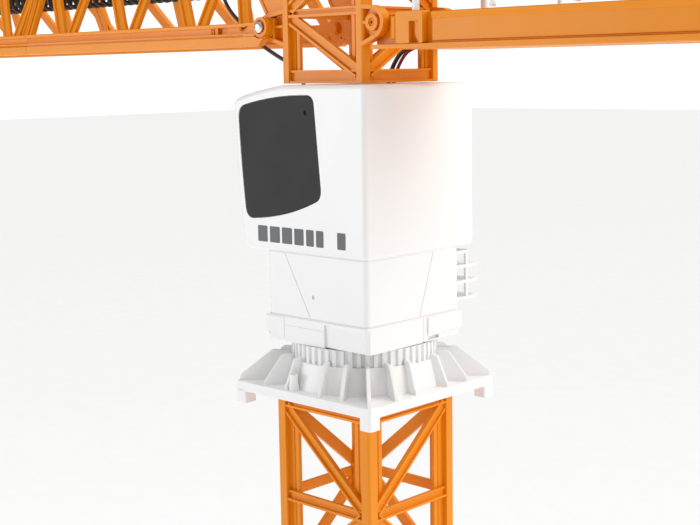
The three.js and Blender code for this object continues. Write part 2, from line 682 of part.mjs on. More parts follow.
function jibSections() {
  const whole = jibWhole();
  const edges = [0, ...JIB_SPLITS, JIB_END + 20];
  return edges.slice(1).map((high, i) => {
    const low = edges[i] + (i === 0 ? 0 : GAP / 2);
    return whole.intersect(box([low, high - GAP / 2], [-60, 60], [TRAY_TOP, HEAD_TOP]));
  });
}

// ---- counter-jib ----
const COUNTER_HIGH = TRAY_TOP + 169.4;
const COUNTER_ROOT = -44.6;

function counterSide() {
  const root = COUNTER_ROOT;
  const outer = TURRET_HALF;
  const layer = [outer - 8.2, outer - 4.9];
  const web = box([COUNTER_END, root - 15], [outer - 3.2, outer - 0.8], [COUNTER_LOW, COUNTER_HIGH]);
  const flange = box([COUNTER_END, root - 15], [outer - 4.5, outer], [COUNTER_LOW, COUNTER_LOW + 2.8]);
  const cap = box([COUNTER_END, root - 15], [outer - 4.5, outer], [COUNTER_HIGH - 2, COUNTER_HIGH]);
  const bracket = box([-64, root], [outer - 5.5, outer], [COUNTER_LOW + 2.2, COUNTER_HIGH]);
  const opening = box([-57.4, -52], [outer - 2.6, outer + 1], [COUNTER_LOW + 3, COUNTER_HIGH - 4]);
  const tongue = slab([
    [COUNTER_PIVOT_X, COUNTER_LOW], [COUNTER_PIVOT_X, COUNTER_LOW + 2], [COUNTER_PIVOT_X + 3.6, PIVOT_Z],
    [COUNTER_PIVOT_X, PIVOT_Z + 3.6], [root - 4, COUNTER_HIGH], [root - 4, COUNTER_LOW],
  ], ...layer);
  const sill = box([root - 6, COUNTER_PIVOT_X], layer, [COUNTER_LOW, COUNTER_LOW + 2]);
  const bore = rod([COUNTER_PIVOT_X, 10, PIVOT_Z], [COUNTER_PIVOT_X, 30, PIVOT_Z], SCREW_BORE, 12);
  const link = box([-64, root - 1], layer, [COUNTER_LOW, COUNTER_HIGH]);
  return cut(join([web, flange, cap, bracket, tongue, sill, link]), [opening, bore]);
}

function counterJib() {
  const inner = TURRET_HALF - 3;
  const deck = box([COUNTER_END, COUNTER_ROOT], [-inner, inner], [COUNTER_LOW, COUNTER_LOW + 2]);
  const end = box([COUNTER_END, COUNTER_END + 3], [-inner, inner], [COUNTER_LOW, COUNTER_HIGH]);
  const across = [COUNTER_TIE_X - 4, COUNTER_TIE_X + 4];
  const crossbar = box(across, [-inner, inner], [COUNTER_HIGH - 4, COUNTER_HIGH]);
  const ears = [1, -1].map((side) => tieEar(COUNTER_TIE_X, COUNTER_HIGH, side * COUNTER_EAR_Y));
  return join([deck, end, crossbar, counterSide(), flipY(counterSide()), ...ears]);
}

const POST_XS = [-54, -94.3, -134.6];
const RAIL_LEVELS = [184, 196];

function railing() {
  const y = TURRET_HALF - 2.4;
  const foot = COUNTER_HIGH + GAP;
  const parts = POST_XS.map((x) => box([x - 0.9, x + 0.9], [y - 0.9, y + 0.9], [foot, TRAY_TOP + 197]));
  parts.push(box([-145, -50], [y - 1.4, y + 1.4], [foot, foot + 1.2]));
  for (const z of RAIL_LEVELS) {
    parts.push(box([-140, -52.6], [y - 0.8, y + 0.8], [TRAY_TOP + z - 0.8, TRAY_TOP + z + 0.8]));
  }
  return join(parts);
}

const BOX_X = [-241, -161];
const BOX_HALF = 20.5;
const BOX_TOP = TRAY_TOP + 182;

function batteryBox() {
  const low = COUNTER_LOW + 2 + GAP;
  const high = BOX_TOP;
  const body = cut(
    box(BOX_X, [-BOX_HALF, BOX_HALF], [low, high]),
    [box([BOX_X[0] + 2, BOX_X[1] - 2], [-BOX_HALF + 2, BOX_HALF - 2], [low + 2, high + 1])],
  );
  const slot = WIRE_SPREAD + 2;
  return cut(body, [box([BOX_X[1] - 3, BOX_X[1] + 1], [-slot, slot], [low + 1.5, low + 8])]);
}

function batteryCover() {
  const z = BOX_TOP + GAP;
  return join([
    box([BOX_X[0] - 0.6, BOX_X[1] + 0.6], [-BOX_HALF - 0.6, BOX_HALF + 0.6], [z, z + 2]),
    box([BOX_X[0] + 2.5, BOX_X[1] - 2.5], [-BOX_HALF + 2.5, BOX_HALF - 2.5], [z - 2, z + 1]),
  ]);
}

function batteryPack() {
  const z = COUNTER_LOW + 4 + 2 * GAP;
  const middle = (BOX_X[0] + BOX_X[1]) / 2;
  const cells = [-18, 0, 18].map((x) => rod([middle + x, -17, z + 8.6], [middle + x, 17, z + 8.6], 8.4, 12));
  return join([...cells, box([middle - 26, middle + 26], [-16, 16], [z, z + 8])]);
}

// ---- screws and ties ----
function screw(x, y0, y1, headSide) {
  const tip = headSide > 0 ? y0 : y1;
  const face = headSide > 0 ? y1 : y0;
  const shank = rod([x, tip, PIVOT_Z], [x, face, PIVOT_Z], 1.4, 10);
  const head = rod([x, face, PIVOT_Z], [x, face + headSide * 1.5, PIVOT_Z], 2.7, 14);
  return join([shank, head]);
}

// A flat tie bar with round ends, and a moulded pin at each end that points towards `inward`.
function tie(from, to, thick, inward, pinLength) {
  const body = bar(from, to, 4.2, thick, [0, 1, 0]);
  const half = thick / 2 + 0.1;
  const ends = [from, to].map(([x, y, z]) => rod([x, y - half, z], [x, y + half, z], 3.4, 12));
  const pins = [from, to].map(([x, y, z]) => rod([x, y, z], [x, y + inward * pinLength, z], 1.1, 8));
  return join([body, ...ends, ...pins]);
}

function jibTie(x) {
  const side = x === TIE_POINTS[0] ? 1 : -1;
  const y = side * (EAR_HALF + GAP + TIE_THICK / 2 + 0.1);
  return tie([HEAD_EYE_X, y, HEAD_EYE_Z], [x, y, JIB_CREST + EAR_RISE], TIE_THICK, -side, y * side - GAP);
}

function counterTie(side) {
  const top = [-HEAD_EYE_X, side * 8, HEAD_EYE_Z];
  const foot = [COUNTER_TIE_X, side * 8, COUNTER_HIGH + EAR_RISE];
  return tie(top, foot, TIE_THICK, -side, 4);
}

// ---- trolley and hook ----
const WHEEL_RADIUS = 4.5;
const AXLE_Z = CHORD_LOW + LEDGE + GAP + WHEEL_RADIUS;
const DRUM_Z = TRAY_TOP + 163.5;
const TROLLEY_HALF = 28;
const WHEEL_XS = [-20, 20];

function trolleyFrame() {
  const low = TRAY_TOP + 154.5;
  const high = TRAY_TOP + 171;
  const tray = cut(
    box([-TROLLEY_HALF, TROLLEY_HALF], [-19.8, 19.8], [low, high]),
    [
      box([-TROLLEY_HALF + 2, TROLLEY_HALF - 2], [-17.3, 17.3], [low + 2, high + 1]),
      box([-10.5, 10.5], [-6, 6], [low - 1, low + 3]),
    ],
  );
  const parts = [tray, box([-TROLLEY_HALF, -TROLLEY_HALF + 2.4], [-5.5, 5.5], [high - 3, CORD_Z + 5.5])];
  for (const x of WHEEL_XS) {
    for (const side of [1, -1]) {
      parts.push(rod([x, side * 18, AXLE_Z], [x, side * 24.9, AXLE_Z], 1.3, 12));
    }
  }
  const bore = rod([0, -25, DRUM_Z], [0, 25, DRUM_Z], 1.8, 16);
  return moved(cut(join(parts), [bore]), TROLLEY_X, 0, 0);
}

function trolleyWheel(x, side) {
  const y0 = side * 20.9;
  const y1 = side * 24.6;
  const wheel = rod([x, y0, AXLE_Z], [x, y1, AXLE_Z], WHEEL_RADIUS, 16);
  return moved(cut(wheel, [rod([x, side * 19, AXLE_Z], [x, side * 26, AXLE_Z], 1.6, 10)]), TROLLEY_X, 0, 0);
}

function hoistDrum() {
  const y = 10;
  const parts = [
    rod([0, -y, DRUM_Z], [0, y, DRUM_Z], 4.4, 14),
    rod([0, -y, DRUM_Z], [0, -y + 1.2, DRUM_Z], 6.2, 16),
    rod([0, y - 1.2, DRUM_Z], [0, y, DRUM_Z], 6.2, 16),
    rod([0, -19.4, DRUM_Z], [0, 19.4, DRUM_Z], 1.5, 8),
  ];
  return moved(join(parts), TROLLEY_X, 0, 0);
}

function hoistMotor() {
  const x = TROLLEY_X - 17.5;
  const z = TRAY_TOP + 163.4;
  return join([rod([x, -14, z], [x, 10, z], 6, 14), box([x - 6, x + 6], [9, 15], [z - 6, z + 6])]);
}

// One rope: down from the drum, round the sheave and up to the frame.
function hoistRope() {
  const top = TRAY_TOP + 158;
  const reach = SHEAVE_RADIUS + 0.3;
  const bends = 6;
  const points = [[-reach, 0, top]];
  for (let i = 0; i <= bends; i++) {
    const angle = Math.PI + (i * Math.PI) / bends;
    points.push([reach * Math.cos(angle), 0, SHEAVE_Z + reach * Math.sin(angle)]);
  }
  points.push([reach, 0, top]);
  const runs = points.slice(1).map((point, i) => {
    const overlap = i === 0 || i === points.length - 2 ? 0 : 0.06;
    const ahead = point.map((value, axis) => value + (value - points[i][axis]) * overlap);
    return rod(points[i], ahead, ROPE_RADIUS * (i % 2 === 0 ? 1 : 0.96), 8);
  });
  return moved(join(runs), TROLLEY_X, 0, 0);
}

function hookBlock() {
  const low = SHEAVE_Z - 22;
  const high = SHEAVE_Z + 7;
  const outline = [[-10, SHEAVE_Z - 4], [-7, low], [7, low], [10, SHEAVE_Z - 4], [10, high], [-10, high]];
  const cheek = (y0) => slab(outline, y0, y0 + 2.2);
  const parts = [
    cheek(2.6),
    cheek(-4.8),
    box([-7, 7], [-4.8, 4.8], [low, low + 8]),
    rod([0, -4.8, SHEAVE_Z], [0, 4.8, SHEAVE_Z], 1.5, 12),
  ];
  return moved(cut(join(parts), [rod([0, 0, low - 2], [0, 0, low + 10], 1.9, 16)]), TROLLEY_X, 0, 0);
}

function hookSheave() {
  const floor = SHEAVE_RADIUS - ROPE_RADIUS - 0.3;
  const rim = SHEAVE_RADIUS + 1.4;
  const wheel = lathe([[1.8, -2], [rim, -2], [floor, -0.8], [floor, 0.8], [rim, 2], [1.8, 2]], 18);
  const across = new THREE.Matrix4().makeRotationX(Math.PI / 2);
  return moved(placed(wheel, across), TROLLEY_X, 0, SHEAVE_Z);
}

function hook() {
  const throat = 8;
  const z = SHEAVE_Z - 46;
  const shape = new THREE.Shape();
  shape.moveTo(-1.6, z + 23.6);
  shape.lineTo(-1.6, z + 14);
  shape.quadraticCurveTo(-3, z + 12, -7, z + 10);
  shape.absarc(0, z, throat + 4, Math.PI * 0.72, Math.PI * 2.03, false);
  shape.lineTo(throat + 4.6, z + 4.6);
  shape.lineTo(throat, z + 0.8);
  shape.absarc(0, z, throat, Math.PI * 2, Math.PI * 0.6, true);
  shape.quadraticCurveTo(1.6, z + 9.6, 1.6, z + 14);
  shape.lineTo(1.6, z + 23.6);
  shape.closePath();
  const nut = rod([0, 0, SHEAVE_Z - 26.4], [0, 0, SHEAVE_Z - 22.4], 3.6, 6);
  const pin = rod([0, 0, z + 18], [0, 0, SHEAVE_Z - 15], 1.6, 12);
  return moved(join([slab(shape, -2.4, 2.4), nut, pin]), TROLLEY_X, 0, 0);
}

// ---- cords ----
// Routes run in an upright plane: x, and the height above the slew tray.
const LEAD_ROUTE = [
  [CORD_START - GAP, 188], [99.5, 188], [95.6, 184.5], [92.5, 179.5], [88.5, 175], [83, 170.6],
  [76, 165], [69.5, 160.2], [63, 156.6], [56, 153.2], [48, 149.6], [41.5, 145.6],
  [LEAD_X + 0.8, 140.6], [LEAD_X + 0.2, 134.6], [LEAD_X, 129],
];
const WIRE_ROUTE = [
  [WIRE_FOOT_X, 130], [WIRE_FOOT_X, 136], [WIRE_FOOT_X - 0.4, 140.5], [-13.2, 145.2], [-16.2, 150],
  [-20, 153.6], [-25.6, 155.6], [-33, 157], [-42, 158.4], [-60, 159], [-90, 159], [-120, 159],
  [-150, 159.4], [-163, 160.4],
];

const jibLead = () => tube(LEAD_ROUTE.map(([x, rise]) => [x, 0, TRAY_TOP + rise]), 1, 24);

function wire(side, radius) {
  const route = WIRE_ROUTE.map(([x, z], i) => {
    const blend = Math.min(1, Math.max(0, (i - 7) / 4));
    const y = WIRE_SIDES[side] * (1 - blend) + (side === 0 ? WIRE_SPREAD : -WIRE_SPREAD) * blend;
    return [x, y, TRAY_TOP + z];
  });
  return tube(route, radius, 26);
}

function curlyCord() {
  const end = TROLLEY_X - TROLLEY_HALF - GAP;
  return rod([CORD_START, 0, CORD_Z], [end, 0, CORD_Z], CORD_RADIUS, 12);
}

// ---- the assembly ----
const crane = new THREE.Group();
const tower = new THREE.Group();
const upper = new THREE.Group();
const trolley = new THREE.Group();
crane.add(tower, upper);
upper.add(trolley);

add(tower, 'base_frame', baseFrame(), ORANGE);
for (let i = 0; i < 4; i++) {
  add(tower, `ballast_block_${i + 1}`, ballastBlock(i), CONCRETE);
  add(tower, `base_brace_${i + 1}`, baseBrace(i), ORANGE);
}
for (let i = 0; i < SECTION_COUNT; i++) add(tower, `mast_section_${i + 1}`, mastSection(i), ORANGE);
add(tower, 'slew_tray', slewTray(), WHITE);
add(tower, 'slew_ring_gear', ringGear(), NATURAL);

add(upper, 'slew_frame', slewFrame(), WHITE);
add(upper, 'slew_retainer', slewRetainer(), NATURAL);
add(upper, 'slew_motor', slewMotor(), BLACK);
add(upper, 'slew_pinion', slewPinion(), NATURAL);
add(upper, 'lower_housing', lowerHousing(), WHITE);
add(upper, 'power_switch', powerSwitch(), BLACK);
add(upper, 'cab_shell', cabShell(), WHITE);
add(upper, 'cab_side_window', sideWindow(), SMOKE);
add(upper, 'cab_front_window', frontWindow(), SMOKE);
add(upper, 'receiver_board', receiverBoard(), GREEN);
add(upper, 'side_ladder', sideLadder(), WHITE);
add(upper, 'turret_frame', turretFrame(), ORANGE);
add(upper, 'tower_head', towerHead(), ORANGE);
const jibNames = ['jib_root', 'jib_middle', 'jib_tip'];
jibSections().forEach((section, i) => add(upper, jibNames[i], section, ORANGE));
add(upper, 'counter_jib', counterJib(), ORANGE);
add(upper, 'railing_left', railing(), WHITE);
add(upper, 'railing_right', flipY(railing()), WHITE);
add(upper, 'battery_box', batteryBox(), CONCRETE);
add(upper, 'battery_cover', batteryCover(), CONCRETE);
add(upper, 'battery_pack', batteryPack(), BLUE);
const jibScrew = screw(JIB_PIVOT_X, TURRET_HALF - 6, JIB_HALF + GAP, 1);
const counterPin = screw(COUNTER_PIVOT_X, TURRET_HALF - 9, TURRET_HALF + GAP, 1);
add(upper, 'jib_screw_left', jibScrew, STEEL);
add(upper, 'jib_screw_right', flipY(jibScrew), STEEL);
add(upper, 'counter_pin_left', counterPin, ORANGE);
add(upper, 'counter_pin_right', flipY(counterPin), ORANGE);
add(upper, 'jib_tie_inner', jibTie(TIE_POINTS[0]), ORANGE);
add(upper, 'jib_tie_outer', jibTie(TIE_POINTS[1]), ORANGE);
add(upper, 'counter_tie_left', counterTie(1), ORANGE);
add(upper, 'counter_tie_right', counterTie(-1), ORANGE);
add(upper, 'jib_lead', jibLead(), BLACK);
add(upper, 'wire_black', wire(0, 1), BLACK);
add(upper, 'wire_red', wire(1, 0.8), RED);
add(upper, 'curly_cord', curlyCord(), BLACK);

add(trolley, 'trolley_frame', trolleyFrame(), WHITE);
WHEEL_XS.forEach((x, i) => {
  add(trolley, `trolley_wheel_${2 * i + 1}`, trolleyWheel(x, 1), BLACK);
  add(trolley, `trolley_wheel_${2 * i + 2}`, trolleyWheel(x, -1), BLACK);
});
add(trolley, 'hoist_motor', hoistMotor(), STEEL);
add(trolley, 'hoist_drum', hoistDrum(), BLACK);
add(trolley, 'hoist_rope', hoistRope(), BLACK);
add(trolley, 'hook_block', hookBlock(), ORANGE);
add(trolley, 'hook_sheave', hookSheave(), BLACK);
add(trolley, 'hook', hook(), BLACK);

export default crane;
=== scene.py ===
"""Toy tower crane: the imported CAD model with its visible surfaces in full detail."""
import math

import bmesh
import bpy
from mathutils import Matrix, Vector


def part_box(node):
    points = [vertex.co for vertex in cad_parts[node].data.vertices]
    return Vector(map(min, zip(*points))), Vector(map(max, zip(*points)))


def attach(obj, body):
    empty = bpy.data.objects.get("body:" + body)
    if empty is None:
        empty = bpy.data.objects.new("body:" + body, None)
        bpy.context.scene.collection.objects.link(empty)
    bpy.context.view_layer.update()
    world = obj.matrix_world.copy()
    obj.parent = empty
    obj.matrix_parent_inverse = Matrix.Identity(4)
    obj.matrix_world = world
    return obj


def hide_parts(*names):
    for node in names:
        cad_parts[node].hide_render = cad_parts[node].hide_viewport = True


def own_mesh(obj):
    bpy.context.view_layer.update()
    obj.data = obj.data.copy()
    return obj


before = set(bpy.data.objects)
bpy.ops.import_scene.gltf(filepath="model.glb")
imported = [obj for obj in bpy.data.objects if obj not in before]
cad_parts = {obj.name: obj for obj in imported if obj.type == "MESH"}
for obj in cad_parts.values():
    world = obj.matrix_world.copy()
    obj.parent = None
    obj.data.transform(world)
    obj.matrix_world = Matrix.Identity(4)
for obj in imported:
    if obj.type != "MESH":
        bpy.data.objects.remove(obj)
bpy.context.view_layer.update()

ALONG_X = (1, 0, 0)
ALONG_Y = (0, 1, 0)
ALONG_Z = (0, 0, 1)
ORIGIN = (0, 0, 0)
CORE = 0.001  # radius that stands for the axis in a turned profile, so that no edge has zero length


def low(node):
    return Vector(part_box(node)[0]) * 1000


def high(node):
    return Vector(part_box(node)[1]) * 1000


# ---- reference levels, in millimetres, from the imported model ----
TRAY_TOP = low("slew_tray").z + 10.3
TRAY_HALF = high("slew_tray").x
DECK = high("slew_frame").z
BODY_HALF = high("lower_housing").x
CAB_LEFT = high("cab_shell").y
CAB_RIGHT = low("cab_shell").y
CAB_REAR = low("cab_shell").x
CAB_ROOF = high("cab_shell").z
TURRET_HALF = high("turret_frame").y
PIVOT_Z = (low("jib_screw_left").z + high("jib_screw_left").z) / 2
JIB_PIVOT = Vector(((low("jib_screw_left").x + high("jib_screw_left").x) / 2, 0, PIVOT_Z))
COUNTER_PIVOT = Vector(((low("counter_pin_left").x + high("counter_pin_left").x) / 2, 0, PIVOT_Z))
CHORD_LOW = low("jib_root").z
CHORD_HIGH = CHORD_LOW + 11
CREST = TRAY_TOP + 213
CREST_HALF = 12
JIB_HALF = high("jib_middle").y - 0.1
JIB_END = high("jib_tip").x
JIB_SPLITS = [low("jib_middle").x - 0.15, high("jib_middle").x + 0.15]
COUNTER_END = low("counter_jib").x
COUNTER_LOW = low("counter_jib").z
TROLLEY_X = (low("trolley_frame").x + high("trolley_frame").x) / 2
SHEAVE = (low("hook_sheave") + high("hook_sheave")) / 2
DRUM = (low("hoist_drum") + high("hoist_drum")) / 2
CORD = (low("curly_cord") + high("curly_cord")) / 2
COUNTER_TOP = TRAY_TOP + 169.4
WOUND = 4.95  # radius of the rope's centre line on the drum


# ---- materials ----
def socket(node, name, value):
    node.inputs[name].default_value = value


class Surface:
    """A Principled material with helpers for its procedural detail."""

    def __init__(self, name, roughness=0.5, metallic=0.0, **values):
        self.material = bpy.data.materials.new(name)
        self.material.use_nodes = True
        self.nodes = self.material.node_tree.nodes
        self.links = self.material.node_tree.links
        self.shader = self.nodes["Principled BSDF"]
        socket(self.shader, "Roughness", roughness)
        socket(self.shader, "Metallic", metallic)
        for key, value in values.items():
            socket(self.shader, key.replace("_", " "), value)
        self.place = self.nodes.new("ShaderNodeTexCoord").outputs["Object"]

    def noise(self, scale, detail=3.0, stretch=(1, 1, 1)):
        mapping = self.nodes.new("ShaderNodeMapping")
        socket(mapping, "Scale", stretch)
        self.links.new(self.place, mapping.inputs["Vector"])
        texture = self.nodes.new("ShaderNodeTexNoise")
        socket(texture, "Scale", scale)
        socket(texture, "Detail", detail)
        self.links.new(mapping.outputs["Vector"], texture.inputs["Vector"])
        return texture.outputs["Fac"]

    def wave(self, scale, direction, distortion=0.0):
        texture = self.nodes.new("ShaderNodeTexWave")
        texture.bands_direction = direction
        socket(texture, "Scale", scale)
        socket(texture, "Distortion", distortion)
        self.links.new(self.place, texture.inputs["Vector"])
        return texture.outputs["Fac"]

    def ramp(self, factor, stops):
        ramp = self.nodes.new("ShaderNodeValToRGB")
        elements = ramp.color_ramp.elements
        while len(elements) < len(stops):
            elements.new(0.5)
        for element, (place, colour) in zip(elements, stops):
            element.position = place
            element.color = (*colour, 1)
        self.links.new(factor, ramp.inputs["Fac"])
        return ramp.outputs["Color"]

    def colour(self, output):
        self.links.new(output, self.shader.inputs["Base Color"])

    def rough(self, factor, lowest, highest):
        span = self.nodes.new("ShaderNodeMapRange")
        socket(span, "To Min", lowest)
        socket(span, "To Max", highest)
        self.links.new(factor, span.inputs["Value"])
        self.links.new(span.outputs["Result"], self.shader.inputs["Roughness"])

    def bump(self, factor, strength, distance):
        bump = self.nodes.new("ShaderNodeBump")
        socket(bump, "Strength", strength)
        socket(bump, "Distance", distance)
        self.links.new(factor, bump.inputs["Height"])
        self.links.new(bump.outputs["Normal"], self.shader.inputs["Normal"])


def tinted(colour, share):
    return tuple(max(0.0, min(1.0, channel * share)) for channel in colour)


def plastic(name, colour, roughness, spread=0.04, grain=0.12, soft=0.0, **values):
    """Moulded plastic: faint flow marks in the colour, a fine spark-eroded grain and uneven gloss."""
    surface = Surface(name, roughness=roughness, **values)
    if soft:
        socket(surface.shader, "Subsurface Weight", soft)
        socket(surface.shader, "Subsurface Radius", (0.004, 0.002, 0.001))
    flow = surface.noise(14, 2, (1, 1, 0.35))
    tones = [(0.3, tinted(colour, 1 - spread)), (0.7, tinted(colour, 1 + spread))]
    surface.colour(surface.ramp(flow, tones))
    surface.rough(surface.noise(60, 4), roughness - 0.06, roughness + 0.08)
    surface.bump(surface.noise(1400, 2), grain, 0.0002)
    return surface.material


def concrete(name):
    surface = Surface(name, roughness=0.85)
    speckle = surface.noise(420, 5)
    stops = [(0.32, (0.2, 0.2, 0.19)), (0.5, (0.36, 0.36, 0.34)), (0.7, (0.5, 0.5, 0.47))]
    surface.colour(surface.ramp(speckle, stops))
    surface.rough(surface.noise(90, 3), 0.75, 0.95)
    surface.bump(surface.noise(260, 6), 0.5, 0.0006)
    return surface.material


def metal(name, tone, roughness, stretch):
    surface = Surface(name, roughness=roughness, metallic=1.0)
    lines = surface.noise(300, 4, stretch)
    surface.colour(surface.ramp(lines, [(0.3, tinted(tone, 0.85)), (0.7, tone)]))
    surface.rough(lines, roughness - 0.08, roughness + 0.12)
    surface.bump(lines, 0.15, 0.0001)
    return surface.material


def sheath(name, colour, roughness=0.42):
    surface = Surface(name, roughness=roughness)
    blotch = surface.noise(45, 3)
    surface.colour(surface.ramp(blotch, [(0.35, tinted(colour, 0.75)), (0.7, tinted(colour, 1.35))]))
    surface.rough(surface.noise(120, 3), roughness - 0.08, roughness + 0.12)
    surface.bump(surface.noise(700, 2), 0.1, 0.0002)
    return surface.material


def twisted(name, colour):
    surface = Surface(name, roughness=0.75)
    strands = surface.wave(420, "DIAGONAL", 0.4)
    surface.colour(surface.ramp(strands, [(0.1, tinted(colour, 0.4)), (0.8, tinted(colour, 1.6))]))
    surface.bump(strands, 0.6, 0.0003)
    return surface.material


def circuit(name):
    surface = Surface(name, roughness=0.45)
    tracks = surface.nodes.new("ShaderNodeTexVoronoi")
    socket(tracks, "Scale", 160)
    tracks.distance = "MANHATTAN"
    surface.links.new(surface.place, tracks.inputs["Vector"])
    distance = tracks.outputs["Distance"]
    surface.colour(surface.ramp(distance, [(0.3, (0.02, 0.16, 0.07)), (0.5, (0.05, 0.27, 0.12))]))
    surface.bump(distance, 0.3, 0.0003)
    return surface.material


ORANGE = plastic("orange_plastic", (0.84, 0.272, 0.004), 0.38, soft=0.04, Specular_IOR_Level=0.3)
WHITE = plastic("white_plastic", (0.9, 0.9, 0.9), 0.38, spread=0.012)
WINDOW = plastic("window_grey", (0.036, 0.036, 0.038), 0.6, spread=0.06, grain=0.25, Specular_IOR_Level=0.2)
MARKING = plastic("marking_grey", (0.14, 0.145, 0.155), 0.6, spread=0.05)
NATURAL = plastic("natural_plastic", (0.74, 0.71, 0.62), 0.5, soft=0.1)
BLACK = plastic("black_plastic", (0.025, 0.025, 0.027), 0.45, spread=0.15)
BLUE = plastic("battery_blue", (0.04, 0.12, 0.42), 0.35)
CONCRETE = concrete("ballast_grey")
CAN = metal("motor_steel", (0.72, 0.72, 0.72), 0.32, (1, 30, 1))
SCREW = metal("screw_steel", (0.78, 0.78, 0.8), 0.28, (1, 1, 20))
CABLE = sheath("black_cable", (0.022, 0.022, 0.024))
RED_CABLE = sheath("red_cable", (0.32, 0.015, 0.03))
ROPE = twisted("rope", (0.05, 0.05, 0.055))
BOARD = circuit("board_green")


# ---- mesh building ----
def unit(vector):
    return Vector(vector).normalized()


def flat(points):
    """Points of an outline, without the ones that repeat."""
    kept = []
    for point in points:
        if not kept or (Vector(point) - Vector(kept[-1])).length > 1e-4:
            kept.append(tuple(point))
    return kept


def arc(cx, cz, radius, start, end, steps):
    angles = [math.radians(start + (end - start) * i / steps) for i in range(steps + 1)]
    return [(cx + radius * math.cos(a), cz + radius * math.sin(a)) for a in angles]


def rounded(x0, x1, z0, z1, radius, steps=4):
    """A rectangle's outline with rounded corners."""
    return (
        arc(x1 - radius, z0 + radius, radius, -90, 0, steps)
        + arc(x1 - radius, z1 - radius, radius, 0, 90, steps)
        + arc(x0 + radius, z1 - radius, radius, 90, 180, steps)
        + arc(x0 + radius, z0 + radius, radius, 180, 270, steps)
    )


class Shape:
    """Closed bodies collected in one mesh, in millimetres of the row frame."""

    def __init__(self):
        self.verts = []
        self.faces = []

    def add(self, verts, faces):
        start = len(self.verts)
        self.verts += [tuple(v) for v in verts]
        self.faces += [tuple(i + start for i in face) for face in faces]
        return self

    def take(self, mesh):
        """Adds a Blender mesh's faces."""
        return self.add([v.co * 1000 for v in mesh.vertices], [tuple(f.vertices) for f in mesh.polygons])

    def merge(self, other, move=None):
        verts = other.verts if move is None else [tuple(move @ Vector(v)) for v in other.verts]
        return self.add(verts, other.faces)

    def loft(self, rings):
        """A closed body through rings of points."""
        count = len(rings[0])
        verts = [v for ring in rings for v in ring]
        faces = []
        for r in range(len(rings) - 1):
            for i in range(count):
                j = (i + 1) % count
                faces.append((r * count + i, r * count + j, (r + 1) * count + j, (r + 1) * count + i))
        last = (len(rings) - 1) * count
        faces.append(tuple(reversed(range(count))))
        faces.append(tuple(last + i for i in range(count)))
        return self.add(verts, faces)

    def box(self, xs, ys, zs):
        ring = [(xs[0], ys[0]), (xs[1], ys[0]), (xs[1], ys[1]), (xs[0], ys[1])]
        return self.loft([[(x, y, z) for x, y in ring] for z in zs])

    def slab(self, outline, y0, y1):
        """An outline in the XZ plane, from y0 to y1."""
        outline = flat(outline)
        return self.loft([[(x, y, z) for x, z in outline] for y in (y0, y1)])

    def column(self, outline, z0, z1):
        """An outline in the XY plane, from z0 to z1."""
        outline = flat(outline)
        return self.loft([[(x, y, z) for x, y in outline] for z in (z0, z1)])

    def member(self, a, b, outline, normal, level=False):
        """A straight bar with a section, whose first axis lies across the bar and second along normal.

        level cuts both ends of the bar flat, at the heights of a and b.
        """
        a, b = Vector(a), Vector(b)
        along = unit(b - a)
        out = unit(Vector(normal) - along * along.dot(Vector(normal)))
        side = along.cross(out)
        rings = [[p + side * u + out * v for u, v in outline] for p in (a, b)]
        if level:
            rings = [[v + along * ((p.z - v.z) / along.z) for v in ring] for p, ring in zip((a, b), rings)]
        return self.loft(rings)

    def tube(self, points, radius, sides=10):
        """A round tube along points. radius is one number, or one for each point."""
        points = [Vector(p) for p in points]
        radii = radius if isinstance(radius, list) else [radius] * len(points)
        rings = []
        side = None
        for i, point in enumerate(points):
            before = points[max(0, i - 1)]
            after = points[min(len(points) - 1, i + 1)]
            along = unit(after - before)
            if side is None:
                other = Vector(ALONG_Z) if abs(along.z) < 0.9 else Vector(ALONG_X)
                side = unit(along.cross(other))
            side = unit(side - along * along.dot(side))
            up = along.cross(side)
            turn = [2 * math.pi * k / sides for k in range(sides)]
            rings.append([tuple(point + (side * math.cos(t) + up * math.sin(t)) * radii[i]) for t in turn])
        return self.loft(rings)

    def lathe(self, profile, centre, axis, segments=48):
        """A closed profile of (radius, height) turned about an axis through centre."""
        centre, axis = Vector(centre), unit(axis)
        other = Vector(ALONG_X) if abs(axis.x) < 0.9 else Vector(ALONG_Y)
        side = unit(axis.cross(other))
        up = axis.cross(side)
        rings = []
        for k in range(segments):
            turn = 2 * math.pi * k / segments
            out = side * math.cos(turn) + up * math.sin(turn)
            rings.append([tuple(centre + out * r + axis * h) for r, h in profile])
        count = len(profile)
        verts = [v for ring in rings for v in ring]
        faces = []
        for r in range(segments):
            nxt = (r + 1) % segments
            for i in range(count):
                j = (i + 1) % count
                faces.append((r * count + i, nxt * count + i, nxt * count + j, r * count + j))
        return self.add(verts, faces)

    def cylinder(self, radius, heights, centre, axis, segments=48):
        """A solid cylinder about an axis through centre, between two heights along it."""
        start, end = heights
        profile = [(CORE, start), (radius, start), (radius, end), (CORE, end)]
        return self.lathe(profile, centre, axis, segments)

    def mesh(self, name):
        mesh = bpy.data.meshes.new(name)
        mesh.from_pydata([tuple(c * 0.001 for c in v) for v in self.verts], [], self.faces)
        work = bmesh.new()
        work.from_mesh(mesh)
        bmesh.ops.remove_doubles(work, verts=work.verts, dist=1e-7)
        bmesh.ops.dissolve_degenerate(work, dist=1e-7, edges=work.edges)
        bmesh.ops.recalc_face_normals(work, faces=work.faces)
        work.to_mesh(mesh)
        work.free()
        return mesh


